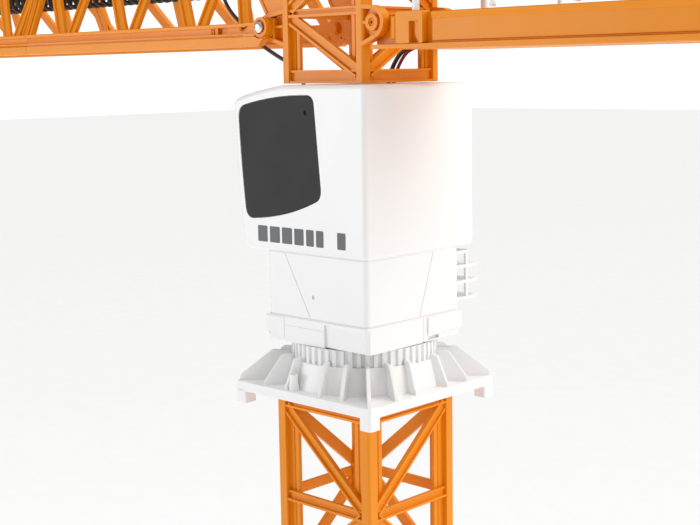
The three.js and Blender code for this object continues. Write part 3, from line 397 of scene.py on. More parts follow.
def soften(obj, width, segments=2, angle=32):
    """Rounds an object's edges and shades it smoothly."""
    bevel = obj.modifiers.new("edge", "BEVEL")
    bevel.width = width * 0.001
    bevel.segments = segments
    bevel.limit_method = "ANGLE"
    bevel.angle_limit = math.radians(angle)
    bevel.miter_outer = "MITER_ARC"
    normals = obj.modifiers.new("shade", "WEIGHTED_NORMAL")
    normals.keep_sharp = True
    obj.data.polygons.foreach_set("use_smooth", [True] * len(obj.data.polygons))
    obj.data.update()


def as_mesh(shape, name):
    """A Shape's mesh, or the mesh itself where it is one already."""
    return shape if isinstance(shape, bpy.types.Mesh) else shape.mesh(name)


def piece(name, shape, material, body, replaces=(), edge=0.0, segments=2):
    """A visible piece that rides on a body. Its slot is its material's name."""
    obj = bpy.data.objects.new(name, as_mesh(shape, name))
    bpy.context.scene.collection.objects.link(obj)
    obj.data.materials.clear()
    obj.data.materials.append(material)
    if edge:
        soften(obj, edge, segments)
    else:
        obj.data.polygons.foreach_set("use_smooth", [True] * len(obj.data.polygons))
        obj.data.set_sharp_from_angle(angle=math.radians(40))
    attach(obj, body)
    if replaces:
        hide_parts(*replaces)
    # The frame's own materials hold the plain names, so Blender adds .001 to these.
    return obj


def baked(shape, name, edge=0.0, segments=3, angle=32):
    """A shape's mesh with its edges rounded, as plain geometry."""
    obj = bpy.data.objects.new(name, shape.mesh(name))
    bpy.context.scene.collection.objects.link(obj)
    if edge:
        soften(obj, edge, segments, angle)
        obj.modifiers.remove(obj.modifiers["shade"])
    return settle(obj)


def settle(obj):
    """Applies an object's modifiers, removes the object and returns the mesh."""
    bpy.context.view_layer.update()
    graph = bpy.context.evaluated_depsgraph_get()
    mesh = bpy.data.meshes.new_from_object(obj.evaluated_get(graph))
    bpy.data.objects.remove(obj)
    return mesh


def carve(mesh, tools, operation="DIFFERENCE"):
    """Cuts shapes out of a closed mesh, or joins them to it."""
    target = bpy.data.objects.new("carved", mesh)
    bpy.context.scene.collection.objects.link(target)
    helpers = []
    for i, tool in enumerate(tools):
        helper = bpy.data.objects.new(f"tool_{i}", as_mesh(tool, "tool"))
        bpy.context.scene.collection.objects.link(helper)
        cut = target.modifiers.new("cut", "BOOLEAN")
        cut.operation = operation
        cut.solver = "MANIFOLD"
        cut.object = helper
        helpers.append(helper)
    result = settle(target)
    for helper in helpers:
        bpy.data.objects.remove(helper)
    return result


def fused(first, *others):
    """Overlapping bodies joined into one, so that no face lies inside or on another."""
    return Shape().take(carve(first.mesh("fused"), others, "UNION"))


def turned(shape, quarter):
    """A copy turned by quarter turns about the mast's axis."""
    return Shape().merge(shape, Matrix.Rotation(math.radians(90 * quarter), 4, "Z"))


def flipped(shape):
    """A copy mirrored from left to right."""
    return Shape().merge(shape, Matrix.Diagonal((1, -1, 1, 1)))


def mirrored(half):
    """A profile's lower half, then its mirror image. A point at height 0 isn't repeated."""
    return half + [(u, -v) for u, v in reversed(half) if v]


def channel(width, depth, rib=1.1, recess=1.0):
    """Section of a lattice bar: a flat back, and two thin ribs along the edges of its outer face."""
    half = width / 2
    return [
        (-half, -depth), (half, -depth), (half, 0), (half - rib, 0),
        (half - rib, -recess), (rib - half, -recess), (rib - half, 0), (-half, 0),
    ]


# ---- camera, light and floor ----
CAMERA_PLACE = Vector((-0.4183, 0.4462, TRAY_TOP / 1000 + 0.14522))
CAMERA_YAW = math.atan2(-CAMERA_PLACE.y, -CAMERA_PLACE.x) + 0.01041
CAMERA_PITCH = 0.14541
CAMERA_ROLL = -0.01583
FOCAL_PIXELS = 1305.74
FRAME_WIDTH = 700


def camera():
    ahead = Vector((math.cos(CAMERA_YAW), math.sin(CAMERA_YAW), 0))
    forward = ahead * math.cos(CAMERA_PITCH) - Vector((0, 0, math.sin(CAMERA_PITCH)))
    right = unit(ahead.cross(Vector(ALONG_Z)))
    up = right.cross(forward)
    across = right * math.cos(CAMERA_ROLL) + up * math.sin(CAMERA_ROLL)
    top = up * math.cos(CAMERA_ROLL) - right * math.sin(CAMERA_ROLL)
    data = bpy.data.cameras.new("camera")
    data.sensor_width = 36
    data.lens = FOCAL_PIXELS * 36 / FRAME_WIDTH
    data.clip_start = 0.01
    data.clip_end = 200
    obj = bpy.data.objects.new("camera", data)
    turn = Matrix((across, top, -forward)).transposed().to_4x4()
    obj.matrix_world = Matrix.Translation(CAMERA_PLACE) @ turn
    bpy.context.scene.collection.objects.link(obj)
    bpy.context.scene.camera = obj


def lamp(name, place, target, size, power, colour=(1, 1, 1)):
    data = bpy.data.lights.new(name, "AREA")
    data.shape = "DISK"
    data.size = size
    data.energy = power
    data.color = colour
    obj = bpy.data.objects.new(name, data)
    obj.location = place
    direction = Vector(target) - Vector(place)
    obj.rotation_euler = direction.to_track_quat("-Z", "Y").to_euler()
    bpy.context.scene.collection.objects.link(obj)


def studio():
    """A white studio: an even sky that looks white, soft lamps on two sides and light from above."""
    world = bpy.data.worlds.new("studio")
    world.use_nodes = True
    nodes, links = world.node_tree.nodes, world.node_tree.links
    glow = nodes["Background"]
    socket(glow, "Color", (1.0, 0.99, 0.98, 1))
    socket(glow, "Strength", 0.4)
    backdrop = nodes.new("ShaderNodeBackground")
    socket(backdrop, "Color", (1.0, 1.0, 1.0, 1))
    socket(backdrop, "Strength", 1.1)
    path = nodes.new("ShaderNodeLightPath")
    mix = nodes.new("ShaderNodeMixShader")
    links.new(path.outputs["Is Camera Ray"], mix.inputs[0])
    links.new(glow.outputs["Background"], mix.inputs[1])
    links.new(backdrop.outputs["Background"], mix.inputs[2])
    links.new(mix.outputs["Shader"], nodes["World Output"].inputs["Surface"])
    bpy.context.scene.world = world
    bpy.context.scene.view_settings.view_transform = "Standard"
    aim = (0, 0, 1.0)
    lamp("side", (1.67, 1.86, 1.2), aim, 1.1, 17.5, (0.97, 0.98, 1.0))
    lamp("key", (-2.3, -0.6, 1.9), aim, 1.5, 23, (1.0, 0.98, 0.95))
    sky = bpy.data.lights.new("sky", "SUN")
    sky.energy = 1.9
    sky.angle = math.radians(70)
    overhead = bpy.data.objects.new("sky", sky)
    overhead.rotation_euler = (math.radians(12), math.radians(-14), 0)
    bpy.context.scene.collection.objects.link(overhead)
    floor = Shape().box((-30000, 30000), (-30000, 30000), (-20, 0))
    obj = bpy.data.objects.new("floor", floor.mesh("floor"))
    obj.data.materials.append(plastic("floor_paper", (0.97, 0.97, 0.97), 0.7, spread=0.01, grain=0.02))
    bpy.context.scene.collection.objects.link(obj)


# ---- square lattice ----
COLUMN_SHARE = 0.465  # of a post's width that its column takes


def post_outline(half, post):
    """A corner post: a square column with a round nose, and a grooved flange set back on each side of it."""
    column, groove = post * COLUMN_SHARE, post * 0.76
    back, dip, inner = 2.7, 3.3, 4.4
    side = [
        (half - post, half - back), (half - groove - 0.35, half - back), (half - groove - 0.35, half - dip),
        (half - groove + 0.35, half - dip), (half - groove + 0.35, half - back),
        (half - column, half - back), (half - column, half),
    ]
    corner = arc(half - 1.3, half - 1.3, 1.3, 90, 0, 4)
    other = [(y, x) for x, y in reversed(side)]
    inside = [(half - inner, half - post), (half - inner, half - inner), (half - post, half - inner)]
    return flat(side + corner + other + inside)


def angle_bar(width, depth):
    """Section of a rail: a tall rib along its lower edge and a lower one along its upper edge."""
    half = width / 2
    return [
        (-half, -depth), (half, -depth), (half, -0.7), (half - 1.0, -0.7), (half - 1.0, -1.7),
        (1.2 - half, -1.7), (1.2 - half, 0), (-half, 0),
    ]


def lattice(half, post, thick, span, rails, bays, width):
    shape = Shape()
    outline = post_outline(half, post)
    reach = half - post * COLUMN_SHARE + 0.4
    for quarter in range(4):
        side = Shape().column(outline, *span)
        for z0, z1 in rails:
            middle = (z0 + z1) / 2
            section = angle_bar(z1 - z0, thick - 0.4)
            side.member((-reach, half - 0.25, middle), (reach, half - 0.25, middle), section, ALONG_Y)
        leans_left = quarter % 2 == 0
        for i, (z0, z1) in enumerate(bays):
            sign = 1 if (i % 2 == 0) == leans_left else -1
            section = channel(width, thick - 0.5, 1.15, 1.3)
            start = (-sign * (reach - 0.4), half - 0.45, z0 + 1.6)
            side.member(start, (sign * (reach - 0.4), half - 0.45, z1 - 1.6), section, ALONG_Y)
        shape.merge(turned(side, quarter))
    return shape


def mast():
    bay = 45.2
    for index in range(1, 5):
        name = f"mast_section_{index}"
        bottom, top = low(name).z, high(name).z
        rails = [(top - 8.2, top - 4.4)]
        bays = []
        for i in range(1, 6):
            middle = top - 6.3 - bay * i
            rails.append((middle - 3.0, middle + 2.1))
            bays.append((middle, middle + bay))
        shape = lattice(30, 11.6, 3, (bottom, top), rails, bays, 5.8)
        piece(f"mast_lattice_{index}", shape, ORANGE, "tower", [name], edge=0.3)


# ---- slew tray ----
def collar():
    """The conical collar, with a crown of teeth under the skirt."""
    z = TRAY_TOP
    shape = Shape()
    cone = [(33.3, z - 1), (38.5, z - 1), (38.5, z + 0.2), (35.5, z + 12.4), (33.3, z + 12.4)]
    shape.lathe(cone, ORIGIN, ALONG_Z, 72)
    shape.lathe([(32.4, z + 12), (33.4, z + 12), (33.4, z + 20), (32.4, z + 20)], ORIGIN, ALONG_Z, 72)
    tooth = Shape().box((33.1, 34.7), (-0.95, 0.95), (z + 12, z + 20))
    for i in range(56):
        shape.merge(tooth, Matrix.Rotation(2 * math.pi * i / 56, 4, "Z"))
    return shape


def gusset(reach):
    """A rib of the tray along +X: a flat top at the collar, then a slope to the tray's edge."""
    z = TRAY_TOP
    inner = 33.8
    shoulder = inner + (reach - inner) * 0.4
    side = [
        (inner, z - 1), (reach, z - 1), (reach, z + 1.8), (reach - 0.8, z + 3.1), (shoulder + 0.9, z + 13.8),
        (shoulder - 0.6, z + 14.5), (inner, z + 14.5),
    ]
    return Shape().slab(side, -0.8, 0.8)


def tray():
    z = TRAY_TOP
    shape = Shape()
    outline = rounded(-TRAY_HALF, TRAY_HALF, -TRAY_HALF, TRAY_HALF, 1.6)
    inner = arc(0, 0, 9, 360, 0, 48)
    hole = Shape().column(inner[:-1], z - 6, z + 1)
    plate = carve(Shape().column(outline, z - 4.7, z).mesh("plate"), [hole])
    edge, leg = TRAY_HALF - 1, 6.9
    for quarter in range(4):
        for along in (-25.2, -11, 11, 25.2, edge - 0.3):
            turn = math.atan2(along, edge) + math.radians(90 * quarter)
            shape.merge(gusset(math.hypot(along, edge) - 0.4), Matrix.Rotation(turn, 4, "Z"))
        foot = rounded(TRAY_HALF - leg, TRAY_HALF, TRAY_HALF - leg, TRAY_HALF, 1.2)
        shape.merge(turned(Shape().column(foot, z - 10.3, z - 4), quarter))
    rim = Shape().column(rounded(-26.4, 26.4, -26.4, 26.4, 2), z - 10.7, z - 4).mesh("rim")
    rim = carve(rim, [Shape().column(rounded(-24, 24, -24, 24, 1), z - 12, z - 3)])
    for x, y in ((7.5, 40), (-7.5, -40)):
        boss = [(0.9, z - 1), (2.3, z - 1), (2.3, z + 3), (1.95, z + 3), (1.95, z + 7.5), (0.9, z + 7.5)]
        shape.lathe(boss, (x, y, 0), ALONG_Z, 24)
    shape.merge(collar())
    piece("tray_plate", plate, WHITE, "tower", ["slew_tray"], edge=0.5, segments=3)
    piece("tray_ribs", shape, WHITE, "tower", edge=0.22)
    piece("tray_rim", rim, WHITE, "tower", edge=0.3)


# ---- slewing housing ----
def skirt():
    z = TRAY_TOP
    half = 32.4
    core = Shape().column(rounded(-half, half, -half, half, 2.2), z + 20.4, DECK).mesh("skirt")
    dish = Shape().column(rounded(-half + 2.4, half - 2.4, -half + 2.4, half - 2.4, 1.5), z + 19, DECK - 2.7)
    step = Shape().box((-half - 1, half + 1), (half - 0.5, half + 1), (DECK - 0.5, DECK + 0.4))
    groove = [turned(step, quarter) for quarter in range(4)]
    recess = [
        Shape().box((-30.6, -5.2), (half - 0.9, half + 1), (z + 19, DECK - 1.4)),
        Shape().box((5.2, 30.6), (-half - 1, -half + 0.9), (z + 19, DECK - 1.4)),
    ]
    slots = [
        Shape().box((-half - 1, -half + 1.6), (-16.6, -8.7), (z + 21.1, z + 22.4)),
        Shape().box((-half - 1, -half + 0.35), (-5.75, -5.25), (z + 19, DECK - 1)),
    ]
    mesh = carve(core, [dish, *groove, *recess, *slots])
    piece("skirt", mesh, WHITE, "upper", ["slew_frame"], edge=0.35, segments=3)
    panels = Shape()
    for sign in (1, -1):
        side = Shape()
        side.box((-5.4, 20.3), (half - 1.2, half + 0.3), (z + 20.1, z + 28))
        corner = [(21.1, z + 21.8), (33.1, z + 24), (33.1, DECK - 0.9), (21.1, DECK - 0.9)]
        side.slab(corner, half - 1.5, half + 0.3)
        front = [(33.4, half), (33.4, 8), (half - 1, 8), (half - 1, half)]
        side.loft([
            [(x, y, z + 24 if x > half else z + 22) for x, y in front],
            [(x, y, DECK - 0.8) for x, y in front],
        ])
        panels.merge(side if sign > 0 else Shape().merge(side, Matrix.Rotation(math.pi, 4, "Z")))
    panels.box((-half - 0.25, -half + 0.6), (-5.0, 31.2), (z + 20.2, DECK - 1.6))
    piece("skirt_panels", panels, WHITE, "upper", edge=0.3, segments=3)
    spigot = [(5.5, z - 7.5), (8.6, z - 7.5), (8.6, DECK - 1), (5.5, DECK - 1)]
    shape = Shape().lathe(spigot, ORIGIN, ALONG_Z, 48)
    piece("spigot", shape, WHITE, "upper", edge=0.3)


def seam(start, end):
    """A narrow tool along a line on the housing's left face, for a parting line."""
    half_width, depth = 0.21, 0.45
    section = [(-half_width, -depth), (half_width, -depth), (half_width, 1), (-half_width, 1)]
    return Shape().member((start[0], BODY_HALF, start[1]), (end[0], BODY_HALF, end[1]), section, ALONG_Y)


def housing():
    z = TRAY_TOP
    bottom, top = low("lower_housing").z, high("lower_housing").z
    half = BODY_HALF
    outline = rounded(-half, half, -half, half, 2.6, 6)
    body = Shape().column(outline, bottom, top).mesh("housing")
    side_line = seam((20.9, z + 63.5), (3.1, z + 31.5))
    end_line = seam((-13.6, z + 63.5), (-2.8, z + 31.5))
    lines = [side_line, turned(end_line, 1), turned(side_line, 2), turned(end_line, 3)]
    hole = Shape().cylinder(0.95, (half - 1.2, half + 1), (1.7, 0, z + 42.9), ALONG_Y, 24)
    slot = Shape().box((half - 2.2, half + 1), (-6, 6), (z + 44, z + 48))
    mesh = carve(body, [*lines, hole, slot])
    piece("housing", mesh, WHITE, "upper", ["lower_housing"], edge=0.16, segments=2)
    dome = [(CORE, half - 1.1), (0.8, half - 1.1), (0.8, half - 0.35), (CORE, half - 0.25)]
    led = Shape().lathe(dome, (1.7, 0, z + 42.9), ALONG_Y, 24)
    piece("indicator", led, NATURAL, "upper")
    set_back = rounded(-half + 0.5, half - 0.5, -half + 0.5, half - 0.5, 2.2, 6)
    plinths = Shape().column(set_back, top - 0.5, top + 0.8).column(set_back, bottom - 0.8, bottom + 0.5)
    piece("plinths", plinths, WHITE, "upper")


def ladder():
    z = TRAY_TOP
    shape = Shape()
    for rise, reach in ((59, 42), (52, 49), (44.5, 49), (36.5, 49)):
        outline = rounded(-30, -14, -reach, -BODY_HALF - 0.05, 0.9, 3)
        shape.column(outline, z + rise - 0.8, z + rise + 0.8)
    for x in (-29, -15):
        shape.column(rounded(x - 0.8, x + 0.8, -41.8, -40.2, 0.4, 3), z + 35.7, z + 59.8)
    piece("ladder", shape, WHITE, "upper", ["side_ladder"], edge=0.2)


def curve(start, *spans, steps=8):
    """An outline of straight runs (a point) and quadratic curves (a control point and an end point)."""
    points = [start]
    for span in spans:
        if len(span) == 2 and not isinstance(span[0], tuple):
            points.append(span)
            continue
        control, end = Vector((*span[0], 0)), Vector((*span[1], 0))
        begin = Vector((*points[-1], 0))
        for i in range(1, steps + 1):
            t = i / steps
            p = begin * (1 - t) ** 2 + control * 2 * t * (1 - t) + end * t ** 2
            points.append((p.x, p.y))
    return flat(points)


def cab_outline():
    z = TRAY_TOP
    return curve(
        (CAB_REAR, z + 62),
        (43, z + 62),
        ((48.3, z + 62.5), (49, z + 67.5)),
        ((52.4, z + 98), (53.6, z + 129.5)),
        ((53.6, z + 133.6), (47.5, z + 134.6)),
        ((36, z + 137.6), (20, z + 139.5)),
        (CAB_REAR, z + 139.5),
    )


def window_outline(grow=0.0):
    z = TRAY_TOP
    g = grow
    return curve(
        (-4.4 - g, z + 92.5),
        ((-4.5 - g, z + 88.3 - g), (-1.2, z + 87 - g)),
        ((18, z + 78.8 - g), (40.6, z + 77.3 - g)),
        ((45 + g, z + 77.1 - g), (45.9 + g, z + 81.6)),
        ((48.4 + g, z + 104), (49.3 + g, z + 124.5)),
        ((49.4 + g, z + 129 + g), (45.6, z + 130.2 + g)),
        ((25, z + 134.9 + g), (3.6, z + 134.7 + g)),
        ((-0.6 - g, z + 134.5 + g), (-0.9 - g, z + 130.5)),
        ((-2.6 - g, z + 112), (-4.4 - g, z + 92.5)),
    )[:-1]


def cab():
    z = TRAY_TOP
    shell = baked(Shape().slab(cab_outline(), CAB_RIGHT, CAB_LEFT), "cab", edge=2.4, segments=5, angle=50)
    seat = Shape().slab(window_outline(0.3), CAB_LEFT - 1.5, CAB_LEFT + 2)
    front = Shape().slab([(50.6, z + 84), (60, z + 84), (60, z + 127), (52, z + 127)], -34, 22)
    holes = [
        Shape().cylinder(1.6, (CAB_ROOF - 6, CAB_ROOF + 2), place, ALONG_Z, 20)
        for place in ((37.6, 0, 0), (-11, -6.6, 0), (-11, -10.4, 0))
    ]
    mesh = carve(shell, [seat, front, *holes])
    piece("cab", mesh, WHITE, "upper", ["cab_shell"], edge=0.25, segments=2)
    pane = Shape().slab(window_outline(), CAB_LEFT - 1.4, CAB_LEFT - 0.25).mesh("pane")
    pinhole = Shape().cylinder(1.15, (CAB_LEFT - 1, CAB_LEFT + 1), (4.7, 0, z + 127), ALONG_Y, 20)
    piece("side_window", carve(pane, [pinhole]), WINDOW, "upper", ["cab_side_window"], edge=0.3, segments=3)
    back, face = low("cab_front_window").x, high("cab_front_window").x
    leaning = [(back + 0.4, z + 84.4), (face - 2.1, z + 84.4), (face, z + 126.6), (back + 2, z + 126.6)]
    front_pane = Shape().slab(leaning, -33.6, 21.6)
    piece("front_window", front_pane, WINDOW, "upper", ["cab_front_window"], edge=0.5, segments=3)
    marks = Shape()
    starts = [37.8, 29.6, 21.4, 13.2, 5.4, -1.0]
    for x, wide in zip(starts, (6.6, 6.8, 6.8, 6.2, 5.0, 4.8)):
        marks.slab(rounded(x - wide, x, z + 66.4, z + 74, 0.5, 2), CAB_LEFT - 0.3, CAB_LEFT + 0.04)
    marks.slab(rounded(-19.6, -14.4, z + 66.4, z + 74, 0.5, 2), CAB_LEFT - 0.3, CAB_LEFT + 0.04)
    piece("side_marking", marks, MARKING, "upper")


# ---- turret and head ----
def ring(radius, inner, centre, y0, y1, segments=28):
    outer = arc(centre.x, centre.z, radius, 0, 360, segments)[:-1]
    hole = arc(centre.x, centre.z, inner, 0, 360, segments)[:-1]
    verts = []
    for y in (y0, y1):
        verts += [(x, y, z) for x, z in outer] + [(x, y, z) for x, z in hole]
    n = segments
    faces = []
    for i in range(n):
        j = (i + 1) % n
        faces.append((i, j, n + j, n + i))
        faces.append((2 * n + i, 3 * n + i, 3 * n + j, 2 * n + j))
        faces.append((i, 2 * n + i, 2 * n + j, j))
        faces.append((n + i, n + j, 3 * n + j, 3 * n + i))
    return Shape().add(verts, faces)


def strip(points, width, y0, y1):
    """Flat bars joined end to end in the XZ plane."""
    shape = Shape()
    section = [(-width / 2, 0), (width / 2, 0), (width / 2, y1 - y0), (-width / 2, y1 - y0)]
    for a, b in zip(points, points[1:]):
        shape.member((a[0], y0, a[1]), (b[0], y0, b[1]), section, ALONG_Y)
    return shape


def front_lug():
    z = TRAY_TOP
    half = TURRET_HALF
    p = JIB_PIVOT
    y0, y1 = half - 4.6, half
    web = [(half - 1, z + 158), (p.x - 3, p.z - 4), (p.x - 3, p.z + 4), (half - 1, z + 172)]
    boss = fused(
        ring(5.4, 2.2, p, y0, y1),
        strip([(half - 2, z + 173), (p.x + 1.2, p.z + 4.6)], 1.7, y0, y1 - 0.02),
        strip([(half - 2, z + 157.6), (p.x + 0.6, p.z - 4.6)], 1.7, y0 + 0.02, y1 - 0.03),
        strip([(half - 2, p.z), (p.x - 3.6, p.z)], 1.2, y0 + 0.04, y1 - 0.4),
        strip([(31.4, z + 160.4), (31.4, z + 170)], 1.2, y0 + 0.06, y1 - 0.3),
        Shape().slab(web, y0 + 0.08, y0 + 1.2),
    )
    return Shape().take(carve(boss.mesh("lug"), [ring(3.5, 0.5, p, y0 + 0.8, y1 + 1)]))


def rear_lug():
    z = TRAY_TOP
    half = TURRET_HALF
    p = Vector((COUNTER_PIVOT.x - 0.4, 0, PIVOT_Z))
    y0, y1 = half - 4.6, half
    rim = arc(p.x, p.z, 7.1, 95, 248, 18) + arc(p.x, p.z, 5.4, 248, 95, 18)
    return fused(
        Shape().slab(rim, y0, y1),
        strip([(-half + 2, z + 173), (p.x - 0.4, p.z + 6.4)], 1.7, y0 + 0.02, y1 - 0.02),
        strip([(-half + 2, z + 156.6), (p.x - 2.2, p.z - 6)], 1.7, y0 + 0.04, y1 - 0.04),
        strip([(-half + 2, p.z), (p.x + 2.6, p.z)], 1.2, y0 + 0.06, y1 - 0.3),
        ring(3.6, 1.75, p, y0 + 0.03, y1 - 0.2),
        ring(6, 3.4, p, y0 + 0.01, y1 - 2.6),
    )


def turret():
    z = TRAY_TOP
    half = TURRET_HALF
    top = high("turret_frame").z
    foot = CAB_ROOF + 0.1
    rails = [(foot, z + 146), (z + 169.8, z + 173.5), (z + 202, top)]
    bays = [(z + 143.4, z + 171.6), (z + 171.6, z + 204)]
    shape = lattice(half, 9.2, 2.8, (foot, top), rails, bays, 5.8)
    bulge = [(36.8, z + 172), (41.4, z + 179.5), (41.8, z + 184), (40, z + 190)]
    web = Shape().slab([(half - 2, z + 172.6), *bulge, (half - 2, top - 1)], half - 3.4, half - 1.8)
    web.merge(strip([(half - 1, z + 172.4), *bulge, (half - 1, top - 1)], 1.4, half - 3.8, half - 1.2))
    for side in (front_lug(), rear_lug(), web):
        shape.merge(side)
        shape.merge(flipped(side))
    piece("turret", shape, ORANGE, "upper", ["turret_frame"], edge=0.28)


def head():
    bottom, top = low("tower_head").z, high("tower_head").z
    half = TURRET_HALF
    crown = top - 16
    foot, peak = half - 3, 5.5
    shape = Shape()

    def leg_at(z):
        return foot + (peak - foot) * ((z - bottom) / (crown - bottom))

    for quarter in range(4):
        side = Shape()
        section = [(-3, -3), (3, -3), (3, 1.9), (2, 3), (-2, 3), (-3, 1.9)]
        side.member((foot, foot, bottom + 0.5), (peak, peak, crown + 4), section, (1, 1, 0.4))
        for rise in (37.5, 67.5):
            reach = leg_at(bottom + rise - 1.5)
            a, b = (-reach, reach + 2.4, bottom + rise), (reach, reach + 2.4, bottom + rise)
            side.member(a, b, channel(5, 2.6, 1.0, 0.8), (0, 1, 0.28))
        sign = 1 if quarter % 2 == 0 else -1
        for z0, z1 in ((bottom + 4, bottom + 35), (bottom + 40, bottom + 65)):
            r0, r1 = leg_at(z0), leg_at(z1)
            a, b = (-sign * (r0 - 1.4), r0 + 1.8, z0), (sign * (r1 - 1.4), r1 + 1.8, z1)
            side.member(a, b, channel(4.4, 2.0, 0.9, 0.7), (0, 1, 0.28))
        shape.merge(turned(side, quarter))
    ring_plate = carve(
        Shape().column(rounded(-half, half, -half, half, 1.6), bottom, bottom + 4).mesh("ring"),
        [Shape().column(rounded(-half + 6, half - 6, -half + 6, half - 6, 1), bottom - 1, bottom + 5)])
    shape.column(rounded(-9, 9, -9, 9, 1.4), crown, top - 2)
    shape.column(rounded(-6, 6, -6, 6, 2.4), top - 3, top)
    eye_z = top - 9
    for x0, x1, y in ((8, 18.1, 0), (-18.1, -8, 4.1), (-18.1, -8, -4.1)):
        outline = rounded(x0, x1, eye_z - 4.5, eye_z + 4.5, 2.6)
        shape.slab(outline, y - 2, y + 2)
    piece("head", shape, ORANGE, "upper", ["tower_head"], edge=0.3)
    piece("head_foot", ring_plate, ORANGE, "upper", edge=0.3)


# ---- jib ----
LEAN = (JIB_HALF - CREST_HALF) / (CREST - CHORD_HIGH)
NODE_FIRST = 83.4
NODE_PITCH = 54.7
NODE_LEAN = 39
SPREAD = 4.4


def jib_side(x, z, side, depth=0.0):
    return (x, side * (JIB_HALF - depth - LEAN * max(0, z - CHORD_HIGH)), z)


def chord(x0, x1):
    """A lower chord's run: a recessed band between ribs, a plain band under it and the trolley's ledge."""
    z = CHORD_LOW
    y = JIB_HALF
    outline = [
        (y - 3.8, z), (y - 0.4, z), (y, z + 0.5), (y, z + 4.4), (y - 0.9, z + 4.5), (y - 0.9, z + 5.0),
        (y, z + 5.1), (y, z + 6.1), (y - 1.6, z + 6.2), (y - 1.6, z + 9.1), (y, z + 9.2),
        (y, z + 10.6), (y - 0.5, z + 11),
        (y - 3.8, z + 11), (y - 3.8, z + 2.2), (20.7, z + 2.2), (20.7, z),
    ]
    return Shape().loft([[(x, v, w) for v, w in outline] for x in (x0, x1)])


def jib_run(x0, x1, side):
    """One side of the jib between two ends."""
    shape = Shape()
    normal = (0, side, LEAN)
    section = channel(6.2, 2.3, 1.15, 0.9)
    x = NODE_FIRST + (0 if side > 0 else NODE_PITCH / 2)
    while x < JIB_END - 14:
        backward = (x - SPREAD, x - (NODE_PITCH - NODE_LEAN) + SPREAD)
        forward = (x + SPREAD, x + NODE_LEAN - SPREAD)
        for foot, top in (backward, forward):
            rear, front = min(foot, top), max(foot, top)
            if rear > x0 + 3 and front < x1 - 3:
                low_end = jib_side(foot, CHORD_HIGH - 1.2, side, 0.3)
                high_end = jib_side(top, CREST - 4, side, 0.3)
                shape.member(low_end, high_end, section, normal, level=True)
            elif rear < x1 and x0 < front < JIB_END - 12:
                shape.merge(clipped_brace(foot, top, side, section, normal, x0, x1))
        x += NODE_PITCH
    return shape


def clipped_brace(foot, top, side, section, normal, x0, x1):
    """The part of a brace that lies between two planes across the jib."""
    a = Vector(jib_side(foot, CHORD_HIGH - 1.5, side, 0.3))
    b = Vector(jib_side(top, CREST - 4, side, 0.3))
    run = b.x - a.x
    if abs(run) < 1:
        return Shape()
    limits = sorted(((x0 + 2.4 - a.x) / run, (x1 - 2.4 - a.x) / run))
    t0, t1 = max(0, limits[0]), min(1, limits[1])
    if t1 - t0 < 0.05:
        return Shape()
    return Shape().member(a + (b - a) * t0, a + (b - a) * t1, section, normal)


def end_frame(x, thick):
    """Two posts and a bar across their tops, at the end of a jib section."""
    shape = Shape()
    section = channel(thick, 3.2, 1.0, 0.8)
    for side in (1, -1):
        foot, top = jib_side(x, CHORD_HIGH - 1, side, 0.2), jib_side(x, CREST - 2, side, 0.2)
        shape.member(foot, top, section, (0, side, LEAN))
    across = (-CREST_HALF + 0.5, CREST_HALF - 0.5)
    return shape.box((x - thick / 2, x + thick / 2), across, (CREST - 5, CREST - 0.2))


def crest(x0, x1):
    """The jib's top bar: a channel open downwards, with a lip along each lower edge."""
    y, z = CREST_HALF, CREST
    right = [
        (y - 0.6, z), (y - 0.1, z - 0.5), (y, z - 8), (y - 1.4, z - 8), (y - 1.4, z - 6.6),
        (y - 2.6, z - 6.6), (y - 2.6, z - 2.4),
    ]
    outline = right + [(-v, w) for v, w in reversed(right)]
    return Shape().loft([[(x, v, w) for v, w in outline] for x in (x0, x1)])


def tie_ear(x, z, y=0.0):
    """An upright ear for a tie's pin."""
    dome = arc(x, z + 4.5, 3.5, 0, 180, 10)
    outline = [(x - 5, z - 2), (x + 5, z - 2), (x + 4.6, z + 4), *dome, (x - 4.6, z + 4)]
    return Shape().slab(outline, y - 2, y + 2)


